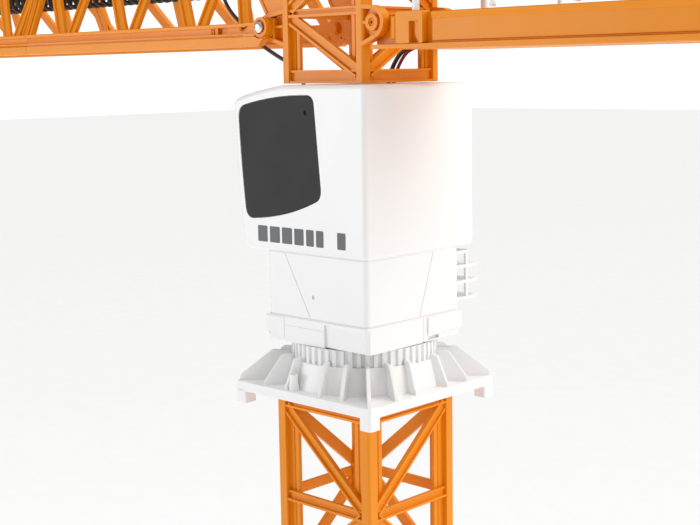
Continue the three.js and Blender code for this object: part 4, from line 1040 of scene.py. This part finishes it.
def jib_root():
    x_end = JIB_SPLITS[0] - 0.15
    z = CHORD_LOW
    p = JIB_PIVOT
    shape = Shape()
    for side in (1, -1):
        run = chord(46, x_end)
        window = Shape().box((60.7, 67.4), (JIB_HALF - 3.2, JIB_HALF + 1), (z + 6.1, z + 9.2))
        near = Shape().take(carve(run.mesh("chord"), [window]))
        inner = JIB_HALF - 3.8
        tail = [
            (p.x - 2.6, p.z - 5.4), (p.x + 1.6, z), (46.2, z), (46.2, z + 11),
            (p.x + 2, z + 11), *arc(p.x, p.z, 4.4, 60, 235, 12),
        ]
        foot_face = JIB_HALF - 1.6
        lower = [
            (p.x - 2.2, p.z - 5.2), (p.x + 1.6, z), (47.5, z), (47.5, z + 4.6), (p.x + 4, z + 4.6),
            (p.x + 1.6, z + 3.6),
        ]
        near = fused(
            near,
            Shape().slab(tail, inner, JIB_HALF - 1.1),
            Shape().slab(lower, foot_face, JIB_HALF),
            strip([(p.x + 1.5, z + 10.3), (47.5, z + 10.3)], 1.3, foot_face, JIB_HALF),
            strip([(p.x + 3.6, z + 5.4), (47.5, z + 5.4)], 1.2, foot_face, JIB_HALF),
            ring(4.6, 3.3, p, JIB_HALF - 2, JIB_HALF),
        )
        tip = low("jib_screw_left").y
        cap = [(CORE, tip - 0.9), (2.4, tip - 0.9), (3.0, tip - 0.4), (3.4, inner + 0.4), (CORE, inner + 0.4)]
        near.lathe(cap, (p.x, 0, p.z), ALONG_Y, 28)
        for x in (70.2, 71.2, 72.2):
            near.box((x - 0.22, x + 0.22), (JIB_HALF - 2.0, JIB_HALF - 1.0), (z + 6.0, z + 9.3))
        shape.merge(near if side > 0 else flipped(near))
        shape.merge(jib_run(60, x_end, side))
        foot, top = jib_side(47, CHORD_HIGH - 2, side, 0.3), jib_side(68, CREST - 3, side, 0.3)
        shape.member(foot, top, channel(6.6, 2.6, 1.2, 0.9), (0, side, LEAN))
    shape.merge(crest(66, x_end))
    shape.merge(end_frame(JIB_SPLITS[0] - 2.5, 4.4))
    shape.merge(tie_ear(205, CREST))
    clip = CORD.z
    bar_shape = Shape().box((100.6, 103.4), (-22.4, 22.4), (clip - 3, clip + 3)).mesh("clip")
    bar_shape = carve(bar_shape, [Shape().cylinder(1.5, (98, 106), (0, 0, clip), ALONG_X, 20)])
    piece("jib_part_root", shape, ORANGE, "upper", ["jib_root"], edge=0.28)
    piece("cord_clip", bar_shape, ORANGE, "upper", edge=0.3)


def jib_middle():
    x0, x1 = JIB_SPLITS[0] + 0.15, JIB_SPLITS[1] - 0.15
    shape = Shape()
    for side in (1, -1):
        run = chord(x0, x1)
        shape.merge(run if side > 0 else flipped(run))
        shape.merge(jib_run(x0, x1, side))
    shape.merge(crest(x0, x1))
    shape.merge(end_frame(x0 + 2.3, 4.4))
    shape.merge(end_frame(x1 - 2.3, 4.4))
    piece("jib_part_middle", shape, ORANGE, "upper", ["jib_middle"], edge=0.28)


def jib_tip():
    x0, x1 = JIB_SPLITS[1] + 0.15, JIB_END
    shape = Shape()
    for side in (1, -1):
        run = chord(x0, x1 - 1)
        shape.merge(run if side > 0 else flipped(run))
        shape.merge(jib_run(x0, x1, side))
    shape.merge(crest(x0, x1 - 6))
    shape.merge(end_frame(x0 + 2.3, 4.4))
    shape.merge(end_frame(x1 - 8, 5))
    shape.merge(tie_ear(455, CREST))
    outline = rounded(-JIB_HALF, JIB_HALF, CHORD_LOW, CHORD_HIGH, 1.4)
    shape.loft([[(x, y, z) for y, z in outline] for x in (x1 - 3.4, x1)])
    piece("jib_part_tip", shape, ORANGE, "upper", ["jib_tip"], edge=0.28)


# ---- counter-jib ----
def counter_side():
    z = TRAY_TOP
    outer = TURRET_HALF
    top = COUNTER_TOP
    root = -44.6
    shape = Shape()
    bottom = COUNTER_LOW
    plate = [
        (outer - 4.5, bottom), (outer - 0.2, bottom), (outer, bottom + 0.4), (outer, bottom + 2.4),
        (outer - 1.9, bottom + 2.5), (outer - 1.9, bottom + 3.2), (outer - 0.9, bottom + 3.3),
        (outer - 0.9, top - 3), (outer - 0.1, top - 1.8), (outer, top - 0.4), (outer - 0.5, top),
        (outer - 4.5, top), (outer - 4.5, top - 2), (outer - 3, top - 2), (outer - 3, bottom + 2.8),
        (outer - 4.5, bottom + 2.8),
    ]
    shape.loft([[(x, y, w) for y, w in plate] for x in (COUNTER_END, -64.2)])
    bracket = Shape().slab(rounded(-59.6, root, bottom + 2.4, top + 0.6, 1.0), outer - 5.5, outer)
    window = Shape().box((-57.4, -52.1), (outer - 3, outer + 1), (z + 156.8, z + 165.7))
    shape.take(carve(bracket.mesh("bracket"), [window]))
    ramp = [
        (-57.6, z + 156.6), (-55.6, z + 156.6), (-53.6, z + 160.4), (-53.6, z + 165.9), (-57.6, z + 165.9),
    ]
    shape.slab(ramp, outer - 3.2, outer - 1.9)
    shape.box((-64.4, -59.4), (outer - 5.5, outer - 3.4), (COUNTER_LOW + 1.5, top))
    shape.box((-64.4, -29.8), (outer - 5.8, outer - 0.2), (COUNTER_LOW + 0.4, COUNTER_LOW + 2.3))
    nose = arc(-41.4, outer - 5.4, 3.4, 0, 360, 20)[:-1]
    shape.column(nose, COUNTER_LOW + 4.5, top - 1.2)
    pivot = COUNTER_PIVOT.x
    tongue = [
        (pivot, bottom + 1), (root - 4, bottom + 1), (root - 4, top), (pivot - 5, top - 0.4),
        *arc(pivot, PIVOT_Z, 3.6, 100, 0, 8),
    ]
    shape.slab(tongue, outer - 8.2, outer - 4.9)
    shape.box((-64, root - 1), (outer - 8.2, outer - 4.9), (COUNTER_LOW, top))
    return shape


def counter_jib():
    top = COUNTER_TOP
    inner = TURRET_HALF - 3
    shape = Shape()
    side = counter_side()
    shape.merge(side)
    shape.merge(flipped(side))
    shape.box((COUNTER_END, -44.6), (-inner, inner), (COUNTER_LOW, COUNTER_LOW + 2))
    shape.box((COUNTER_END, COUNTER_END + 3), (-inner, inner), (COUNTER_LOW, top))
    shape.box((-155, -147), (-inner, inner), (top - 4, top))
    for y in (4.1, -4.1):
        shape.merge(tie_ear(-151, top, y))
    for x in range(-232, -60, 14):
        shape.box((x, x + 1.2), (-inner, inner), (COUNTER_LOW + 1.8, COUNTER_LOW + 2.2))
    piece("counter_boom", shape, ORANGE, "upper", ["counter_jib"], edge=0.28)


def railings():
    z = TRAY_TOP
    for name, sign in (("railing_left", 1), ("railing_right", -1)):
        y = sign * (TURRET_HALF - 2.4)
        foot = low(name).z
        shape = Shape()
        for x, wide in ((-54, 1.6), (-94.3, 0.9), (-134.6, 0.9)):
            shape.tube([(x, y, foot), (x, y, z + 197)], wide, 12)
            cuff = [(0.5, foot), (1.4, foot), (1.4, foot + 0.9), (1.0, foot + 2.2), (0.5, foot + 2.2)]
            shape.lathe(cuff, (x, y, 0), ALONG_Z, 16)
        for rise in (184, 196):
            shape.tube([(-140, y, z + rise), (-52.6, y, z + rise)], 0.75, 12)
        piece(f"{name}_posts", shape, WHITE, "upper", [name], edge=0.15)


def battery():
    bottom, top = low("battery_box"), high("battery_box")
    shell = Shape().column(rounded(bottom.x, top.x, bottom.y, top.y, 2.5), bottom.z, top.z).mesh("box")
    inside = rounded(bottom.x + 2, top.x - 2, bottom.y + 2, top.y - 2, 1)
    hollow = Shape().column(inside, bottom.z + 2, top.z + 1)
    slot = Shape().box((top.x - 3, top.x + 1), (-4, 4), (bottom.z + 1.5, bottom.z + 8))
    grooves = [
        Shape().box((x - 0.7, x + 0.7), ys, (bottom.z + 4, top.z - 4))
        for ys in ((bottom.y - 1, bottom.y + 0.7), (top.y - 0.7, top.y + 1))
        for x in range(-234, -165, 8)
    ]
    mesh = carve(shell, [hollow, slot, *grooves])
    piece("counterweight", mesh, CONCRETE, "upper", ["battery_box"], edge=0.3)
    a, b = low("battery_cover"), high("battery_cover")
    lid = Shape().column(rounded(a.x, b.x, a.y, b.y, 2.8), a.z + 2, b.z).mesh("lid")
    lines = [Shape().box((x - 0.6, x + 0.6), (-12, 12), (b.z - 0.6, b.z + 1)) for x in range(-180, -167, 3)]
    piece("counterweight_lid", carve(lid, lines), CONCRETE, "upper", ["battery_cover"], edge=0.4, segments=3)


# ---- ties and screws ----
def tie_piece(name, node, a, b, y_side):
    """A flat tie with a rib on each face and a round end at each pin."""
    box_low, box_high = low(node), high(node)
    y0, y1 = (box_low.y, box_high.y)
    middle = (y0 + y1) / 2 if y_side == 0 else (y1 - 1.6 if y_side > 0 else y0 + 1.6)
    shape = Shape()
    section = mirrored([(-2.1, -1.2), (-1.2, -1.2), (-1.2, -0.7), (1.2, -0.7), (1.2, -1.2), (2.1, -1.2)])
    shape.member((a[0], middle, a[1]), (b[0], middle, b[1]), section, ALONG_Y)
    for x, z in (a, b):
        shape.merge(ring(3.4, 1.3, Vector((x, 0, z)), middle - 1.5, middle + 1.5))
        shape.cylinder(1.1, (y0 + 0.05, y1 - 0.05), (x, 0, z), ALONG_Y, 16)
    piece(name, shape, ORANGE, "upper", [node], edge=0.2)


def ties():
    eye = (13.6, high("tower_head").z - 9)
    back = (-13.6, eye[1])
    foot = (-151, COUNTER_TOP + 4.5)
    tie_piece("tie_inner", "jib_tie_inner", eye, (205, CREST + 4.5), 1)
    tie_piece("tie_outer", "jib_tie_outer", eye, (455, CREST + 4.5), -1)
    tie_piece("tie_rear_left", "counter_tie_left", back, foot, 1)
    tie_piece("tie_rear_right", "counter_tie_right", back, foot, -1)


def screws():
    for node, sign in (("counter_pin_left", 1), ("counter_pin_right", -1)):
        a, b = low(node), high(node)
        x, z = (a.x + b.x) / 2, (a.z + b.z) / 2
        root, face = (a.y, b.y - 2.6) if sign > 0 else (a.y + 2.6, b.y)
        pin = Shape().lathe([(0.7, root), (1.6, root), (1.6, face), (0.7, face)], (x, 0, z), ALONG_Y, 24)
        piece(f"{node}_tube", pin, ORANGE, "upper", [node], edge=0.15)
    for node, sign in (("jib_screw_left", 1), ("jib_screw_right", -1)):
        a, b = low(node), high(node)
        x, z = (a.x + b.x) / 2, (a.z + b.z) / 2
        face = b.y if sign > 0 else a.y
        tip = a.y if sign > 0 else b.y
        dome = [(CORE, 0.9), (1.2, 0.95), (2.2, 0.6), (2.65, 0.1), (2.65, -0.5), (CORE, -0.5)]
        head_shape = Shape().lathe(dome, (x, face - sign, z), (0, sign, 0), 28)
        depth = sorted((face - sign * 0.75, face + sign))
        cross = [
            Shape().box((x - half_x, x + half_x), depth, (z - half_z, z + half_z))
            for half_x, half_z in ((0.32, 1.5), (1.5, 0.32))
        ]
        mesh = carve(head_shape.mesh("screw"), cross)
        piece(f"{node}_head", mesh, SCREW, "upper", [node])
        shank = Shape().tube([(x, tip, z), (x, face - sign * 1.4, z)], 1.4, 16)
        piece(f"{node}_shank", shank, SCREW, "upper")


# ---- cables ----
def smooth_route(points, steps=8):
    """A Catmull-Rom curve through the points."""
    points = [Vector(p) for p in points]
    full = [points[0] * 2 - points[1], *points, points[-1] * 2 - points[-2]]
    route = []
    for i in range(1, len(full) - 2):
        a, b, c, d = full[i - 1:i + 3]
        for k in range(steps):
            t = k / steps
            square, cube = 2 * a - 5 * b + 4 * c - d, 3 * b - a - 3 * c + d
            route.append(0.5 * (2 * b + (c - a) * t + square * t ** 2 + cube * t ** 3))
    return route + [points[-1]]


def cables():
    z = TRAY_TOP
    lead = [
        (103.7, 188), (99.5, 188), (95.6, 184.5), (92.5, 179.5), (88.5, 175), (83, 170.6), (76, 165),
        (69.5, 160.2), (63, 156.6), (56, 153.2), (48, 149.6), (41.5, 145.6), (38.3, 140.6),
        (37.7, 134.6), (37.5, 129),
    ]
    shape = Shape().tube(smooth_route([(x, 0, z + h) for x, h in lead], 5), 1.0, 12)
    piece("lead", shape, CABLE, "upper", ["jib_lead"])
    route = [
        (-11, 130), (-11, 136), (-11.4, 140.5), (-13.2, 145.2), (-16.2, 150), (-20, 153.6), (-25.6, 155.6),
        (-33, 157), (-42, 158.4), (-60, 159), (-90, 159), (-120, 159), (-150, 159.4), (-163, 160.4),
    ]
    for node, y0, y1, radius, material in (
        ("wire_black", -6.6, 2, 1.0, CABLE), ("wire_red", -10.4, -2, 0.8, RED_CABLE),
    ):
        points = []
        for i, (x, h) in enumerate(route):
            blend = min(1, max(0, (i - 7) / 4))
            points.append((x, y0 * (1 - blend) + y1 * blend, z + h))
        piece(f"{node}_run", Shape().tube(smooth_route(points, 5), radius, 12), material, "upper", [node])


def curly():
    """The curly cord: a wire wound on a radius, with short straight tails."""
    start, end = low("curly_cord").x, high("curly_cord").x
    wire, radius, pitch = 1.15, 4.5, 6.4
    per_turn = 18
    y, z = CORD.y, CORD.z
    turns = int((end - start - 8) / pitch)
    points = [(start, y, z)]
    first = start + (end - start - turns * pitch) / 2
    for i in range(turns * per_turn + 1):
        turn = i / per_turn
        grow = min(1, turn / 0.6, (turns - turn) / 0.6)
        angle = 2 * math.pi * turn
        wide = radius * grow
        points.append((first + turn * pitch, y + wide * math.sin(angle), z - wide * math.cos(angle)))
    points.append((end, y, z))
    obj = piece("curly", Shape().tube(points, wire, 7), CABLE, "upper", ["curly_cord"])
    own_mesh(obj)


# ---- trolley and hook ----
def trolley():
    a, b = low("trolley_frame"), high("trolley_frame")
    x0, x1 = a.x, b.x
    low_z, high_z = a.z, a.z + 16.5
    outline = rounded(x0, x1, -19.8, 19.8, 2.2)
    shell = Shape().column(outline, low_z, high_z).mesh("trolley")
    axis = Shape().cylinder(1.8, (-25, 25), (DRUM.x, 0, DRUM.z), ALONG_Y, 24)
    tools = [
        Shape().column(rounded(x0 + 2, x1 - 2, -17.3, 17.3, 1), low_z + 2, high_z + 1),
        Shape().column(rounded(TROLLEY_X - 10.5, TROLLEY_X + 10.5, -6, 6, 2), low_z - 1, low_z + 3),
        axis,
    ]
    piece("trolley_body", carve(shell, tools), WHITE, "trolley", ["trolley_frame"], edge=0.35)
    shape = Shape()
    arm_outline = rounded(-5.5, 5.5, high_z - 3, b.z, 2.0)
    shape.loft([[(x, y, z) for y, z in arm_outline] for x in (x0, x0 + 2.4)])
    axle_z = (low("trolley_wheel_1").z + high("trolley_wheel_1").z) / 2
    for x in (TROLLEY_X - 20, TROLLEY_X + 20):
        for side in (1, -1):
            shape.tube([(x, side * 18, axle_z), (x, side * 24.9, axle_z)], 1.3, 16)
    for y in (17.3, -18.5):
        shape.box((x0 + 4, x0 + 5.2), (y, y + 1.2), (low_z + 2, high_z - 1))
        shape.box((x1 - 5.2, x1 - 4), (y, y + 1.2), (low_z + 2, high_z - 1))
    piece("trolley_arm", shape, WHITE, "trolley", edge=0.25)


def wheels():
    for i in range(1, 5):
        node = f"trolley_wheel_{i}"
        a, b = low(node), high(node)
        centre = Vector(((a.x + b.x) / 2, (a.y + b.y) / 2, (a.z + b.z) / 2))
        profile = mirrored([
            (1.6, -1.8), (2.6, -1.8), (2.8, -1.3), (3.6, -1.3), (3.9, -1.8), (4.3, -1.8), (4.5, -1.5),
        ])
        wheel = Shape().lathe(profile, centre, ALONG_Y, 32).mesh("wheel")
        holes = []
        for k in range(4):
            turn = math.radians(45 + 90 * k)
            spot = (centre.x + 3.15 * math.cos(turn), 0, centre.z + 3.15 * math.sin(turn))
            holes.append(Shape().cylinder(0.45, (centre.y - 3, centre.y + 3), spot, ALONG_Y, 10))
        piece(f"wheel_{i}", carve(wheel, holes), BLACK, node, [node], edge=0.12)


def drum():
    shape = Shape()
    c = (DRUM.x, 0, DRUM.z)
    for y0, y1 in ((-10, -8.8), (8.8, 10)):
        flange = [(1.0, y0), (5.8, y0), (6.2, y0 + 0.3), (6.2, y1 - 0.3), (5.8, y1), (1.0, y1)]
        shape.lathe(flange, c, ALONG_Y, 32)
    shape.cylinder(4.3, (-9.2, 9.2), c, ALONG_Y, 32)
    shape.cylinder(1.5, (-19.4, 19.4), c, ALONG_Y, 20)
    piece("winch_drum", shape, BLACK, "hoist_drum", ["hoist_drum"], edge=0.12)
    points = []
    turns, per_turn, half_length = 12, 20, 7.4
    for i in range(turns * per_turn + 1):
        angle = 2 * math.pi * i / per_turn
        y = half_length * (2 * i / (turns * per_turn) - 1)
        points.append((DRUM.x - WOUND * math.cos(angle), y, DRUM.z + WOUND * math.sin(angle)))
    piece("rope_wound", Shape().tube(points, 0.58, 7), ROPE, "hoist_drum")


def motors():
    a, b = low("hoist_motor"), high("hoist_motor")
    x, z = (a.x + b.x) / 2, (a.z + b.z) / 2
    can = [(CORE, -14), (2.2, -14), (2.2, -13.4), (5.4, -13.4), (6.0, -12.8), (6.0, 9.6), (CORE, 9.6)]
    motor = Shape().lathe(can, (x, 0, z), ALONG_Y, 32)
    piece("winch_motor", motor, CAN, "trolley", ["hoist_motor"], edge=0.15)
    gearbox = Shape().slab(rounded(x - 6, x + 6, z - 6, z + 6, 1.4), 9.2, 15)
    piece("winch_gearbox", gearbox, BLACK, "trolley", edge=0.3)


def ropes():
    """The hoist rope: two falls, the bend round the sheave and the anchor."""
    hook_top = SHEAVE.z
    reach, thick = 8.3, 0.6
    x = TROLLEY_X
    under = low("trolley_frame").z
    drum_side = DRUM.x - WOUND
    live = [(drum_side, 0, DRUM.z), (drum_side - 0.5, 0, DRUM.z - 60), (x - reach, 0, hook_top)]
    dead = [(x + reach, 0, under + 3.5), (x + reach, 0, hook_top)]
    for name, points, replaced in (("rope_live", live, ["hoist_rope"]), ("rope_dead", dead, ())):
        obj = piece(name, Shape().tube(points, thick, 10), ROPE, "trolley", replaced)
        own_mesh(obj)
    bend = [(px, 0, pz) for px, pz in arc(x, hook_top, reach, 180, 360, 24)]
    piece("rope_bend", Shape().tube(bend, thick, 10), ROPE, "hook_block")
    knot = Shape().box((x + reach - 4.6, x + reach + 4.6), (-1.6, 1.6), (under + 2, under + 4))
    piece("rope_anchor", knot, WHITE, "trolley", edge=0.3)


def block():
    x, z = SHEAVE.x, SHEAVE.z
    outline = [
        *arc(x, z, 10, -20, 200, 20), (x - 7, z - 18), *arc(x - 5, z - 20, 2, 180, 270, 4),
        *arc(x + 5, z - 20, 2, 270, 360, 4),
    ]
    outline = [(px, min(pz, z + 7)) for px, pz in outline]
    shape = Shape()
    for y0 in (2.6, -4.8):
        shape.slab(outline, y0, y0 + 2.2)
    collar_shape = Shape().column(rounded(x - 7, x + 7, -4.8, 4.8, 1.5), z - 22, z - 14).mesh("yoke")
    bore = Shape().cylinder(1.9, (z - 24, z - 12), (x, 0, 0), ALONG_Z, 24)
    piece("block_cheeks", shape, ORANGE, "hook_block", ["hook_block"], edge=0.35, segments=3)
    piece("block_yoke", carve(collar_shape, [bore]), ORANGE, "hook_block", edge=0.35)
    axle = Shape().cylinder(1.5, (-4.8, 4.8), (x, 0, z), ALONG_Y, 24)
    piece("block_axle", axle, SCREW, "hook_block", edge=0.15)


def sheave():
    floor, rim = 7.1, 9.4
    profile = mirrored([
        (1.8, -1.9), (2.9, -1.9), (3.1, -1.2), (6.0, -1.2), (6.3, -1.9), (rim - 0.2, -2), (rim, -1.8),
        (floor + 0.3, -0.7), (floor, 0),
    ])
    wheel = Shape().lathe(profile, (SHEAVE.x, 0, SHEAVE.z), ALONG_Y, 40).mesh("sheave")
    holes = []
    for k in range(5):
        turn = 2 * math.pi * k / 5
        spot = (SHEAVE.x + 4.55 * math.cos(turn), 0, SHEAVE.z + 4.55 * math.sin(turn))
        holes.append(Shape().cylinder(1.0, (-3, 3), spot, ALONG_Y, 16))
    piece("sheave", carve(wheel, holes), BLACK, "hook_sheave", ["hook_sheave"], edge=0.12)


def hook():
    """A forged hook: a shank, a swan neck and a bowl that thickens at its bottom and tapers to its tip."""
    x, z = SHEAVE.x, SHEAVE.z - 46
    middle = 10
    points = [(x, 0, z + 24), (x, 0, z + 18)]
    radii = [1.5, 1.5]
    bowl = [100 + (385 - 100) * i / 26 for i in range(27)]
    points += [(x - 0.1, 0, z + 14.5)]
    radii += [1.7]
    for i, angle in enumerate(bowl):
        t = math.radians(angle)
        points.append((x + middle * math.cos(t), 0, z + middle * math.sin(t)))
        share = i / 26
        swell = 0.75 * math.sin(math.pi * min(1, share * 1.15))
        radii.append(1.7 + swell - 0.9 * max(0, share - 0.82) / 0.18)
    shape = Shape().tube(points, radii, 14)
    top = SHEAVE.z
    nut = [
        (CORE, top - 26.4), (3.2, top - 26.4), (3.6, top - 26.0), (3.6, top - 22.9), (3.2, top - 22.5),
        (CORE, top - 22.5),
    ]
    shape.lathe(nut, (x, 0, 0), ALONG_Z, 6)
    shape.cylinder(1.6, (z + 18, top - 15), (x, 0, 0), ALONG_Z, 20)
    piece("hook_forged", shape, BLACK, "hook", ["hook"])


# ---- base ----
def base():
    shape = Shape()
    reach = 150 * math.sqrt(2)
    for quarter in range(4):
        turn = Matrix.Rotation(math.radians(45 + 90 * quarter), 4, "Z")
        arm = Shape()
        arm.box((38, reach), (-12, -9.5), (0, 22))
        arm.box((38, reach), (9.5, 12), (0, 22))
        arm.box((38, reach), (-9.6, 9.6), (19.5, 22))
        arm.column(rounded(reach - 3, reach, -12, 12, 0.6), 0, 22)
        for x in (74, 98, 122, 146, 170, 194):
            arm.box((x - 0.9, x + 0.9), (-9.6, 9.6), (3, 19.6))
        for side in (1, -1):
            y0, y1 = sorted((side * 12, side * 11.2))
            arm.box((60, reach - 8), (y0, y1), (15.5, 17.5))
            arm.box((60, reach - 8), (y0, y1), (4.5, 6.5))
        shape.merge(arm, turn)
    hub = Shape().column(rounded(-42, 42, -42, 42, 4), 0, 26).mesh("hub")
    hub = carve(hub, [Shape().column(rounded(-37, 37, -37, 37, 2), -1, 20)])
    socket_ring = carve(
        Shape().column(rounded(-35, 35, -35, 35, 2), 25, 38).mesh("socket"),
        [Shape().column(rounded(-30.3, 30.3, -30.3, 30.3, 0.4), 26, 39)])
    piece("base_arms", shape, ORANGE, "tower", ["base_frame"], edge=0.4)
    piece("base_hub", hub, ORANGE, "tower", edge=0.5)
    piece("base_socket", socket_ring, ORANGE, "tower", edge=0.4)


def ballast():
    for i in range(1, 5):
        node = f"ballast_block_{i}"
        a, b = low(node), high(node)
        solid = Shape().column(rounded(a.x, b.x, a.y, b.y, 1.2), a.z, b.z).mesh("block")
        tools = []
        along_x = (b.x - a.x) > (b.y - a.y)
        half_x, half_y = (12, 5) if along_x else (5, 12)
        for share in (0.25, 0.75):
            x = a.x + (b.x - a.x) * (share if along_x else 0.5)
            y = a.y + (b.y - a.y) * (0.5 if along_x else share)
            pocket = rounded(x - half_x, x + half_x, y - half_y, y + half_y, 4.5, 6)
            tools.append(Shape().column(pocket, b.z - 2.5, b.z + 1))
        piece(f"ballast_{i}", carve(solid, tools), CONCRETE, "tower", [node], edge=1.0, segments=3)


def braces():
    for i in range(4):
        node = f"base_brace_{i + 1}"
        shape = Shape()
        head_xy = 34.6
        foot = 128
        section = [(u, v + 3.5) for u, v in channel(7, 7, 1.2, 1.3)]
        shape.member((foot, foot, 26.5), (head_xy, head_xy, 178), section, (1, 1, 0.87))
        shoe = Shape().column(rounded(-9, 9, -6, 6, 1.5), 22.3, 28)
        shape.merge(shoe, Matrix.Translation((foot, foot, 0)) @ Matrix.Rotation(math.radians(45), 4, "Z"))
        clip = [
            (21, 30.3), (30.3, 30.3), (30.3, 21), (35.6, 21), *arc(33.6, 33.6, 2, 0, 90, 4), (21, 35.6),
        ]
        shape.column(clip, 168, 184)
        piece(f"brace_{i + 1}", turned(shape, i), ORANGE, "tower", [node], edge=0.35)


# ---- CAD nodes that keep their shape ----
KEPT = {
    "slew_ring_gear": (NATURAL, 0.15),
    "slew_retainer": (NATURAL, 0.3),
    "slew_pinion": (NATURAL, 0.12),
    "slew_motor": (CAN, 0.3),
    "power_switch": (BLACK, 0.25),
    "receiver_board": (BOARD, 0.1),
    "battery_pack": (BLUE, 0.4),
}


def kept_nodes():
    for name, (material, edge) in KEPT.items():
        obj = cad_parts[name]
        for index in range(len(obj.material_slots)):
            obj.material_slots[index].material = material
        bevel = obj.modifiers.new("edge", "BEVEL")
        bevel.width = edge * 0.001
        bevel.segments = 2
        bevel.limit_method = "ANGLE"
        bevel.angle_limit = math.radians(40)


camera()
studio()
mast()
tray()
skirt()
housing()
ladder()
cab()
turret()
head()
jib_root()
jib_middle()
jib_tip()
counter_jib()
railings()
battery()
ties()
screws()
cables()
curly()
trolley()
wheels()
drum()
motors()
ropes()
block()
sheave()
hook()
base()
ballast()
braces()
kept_nodes()
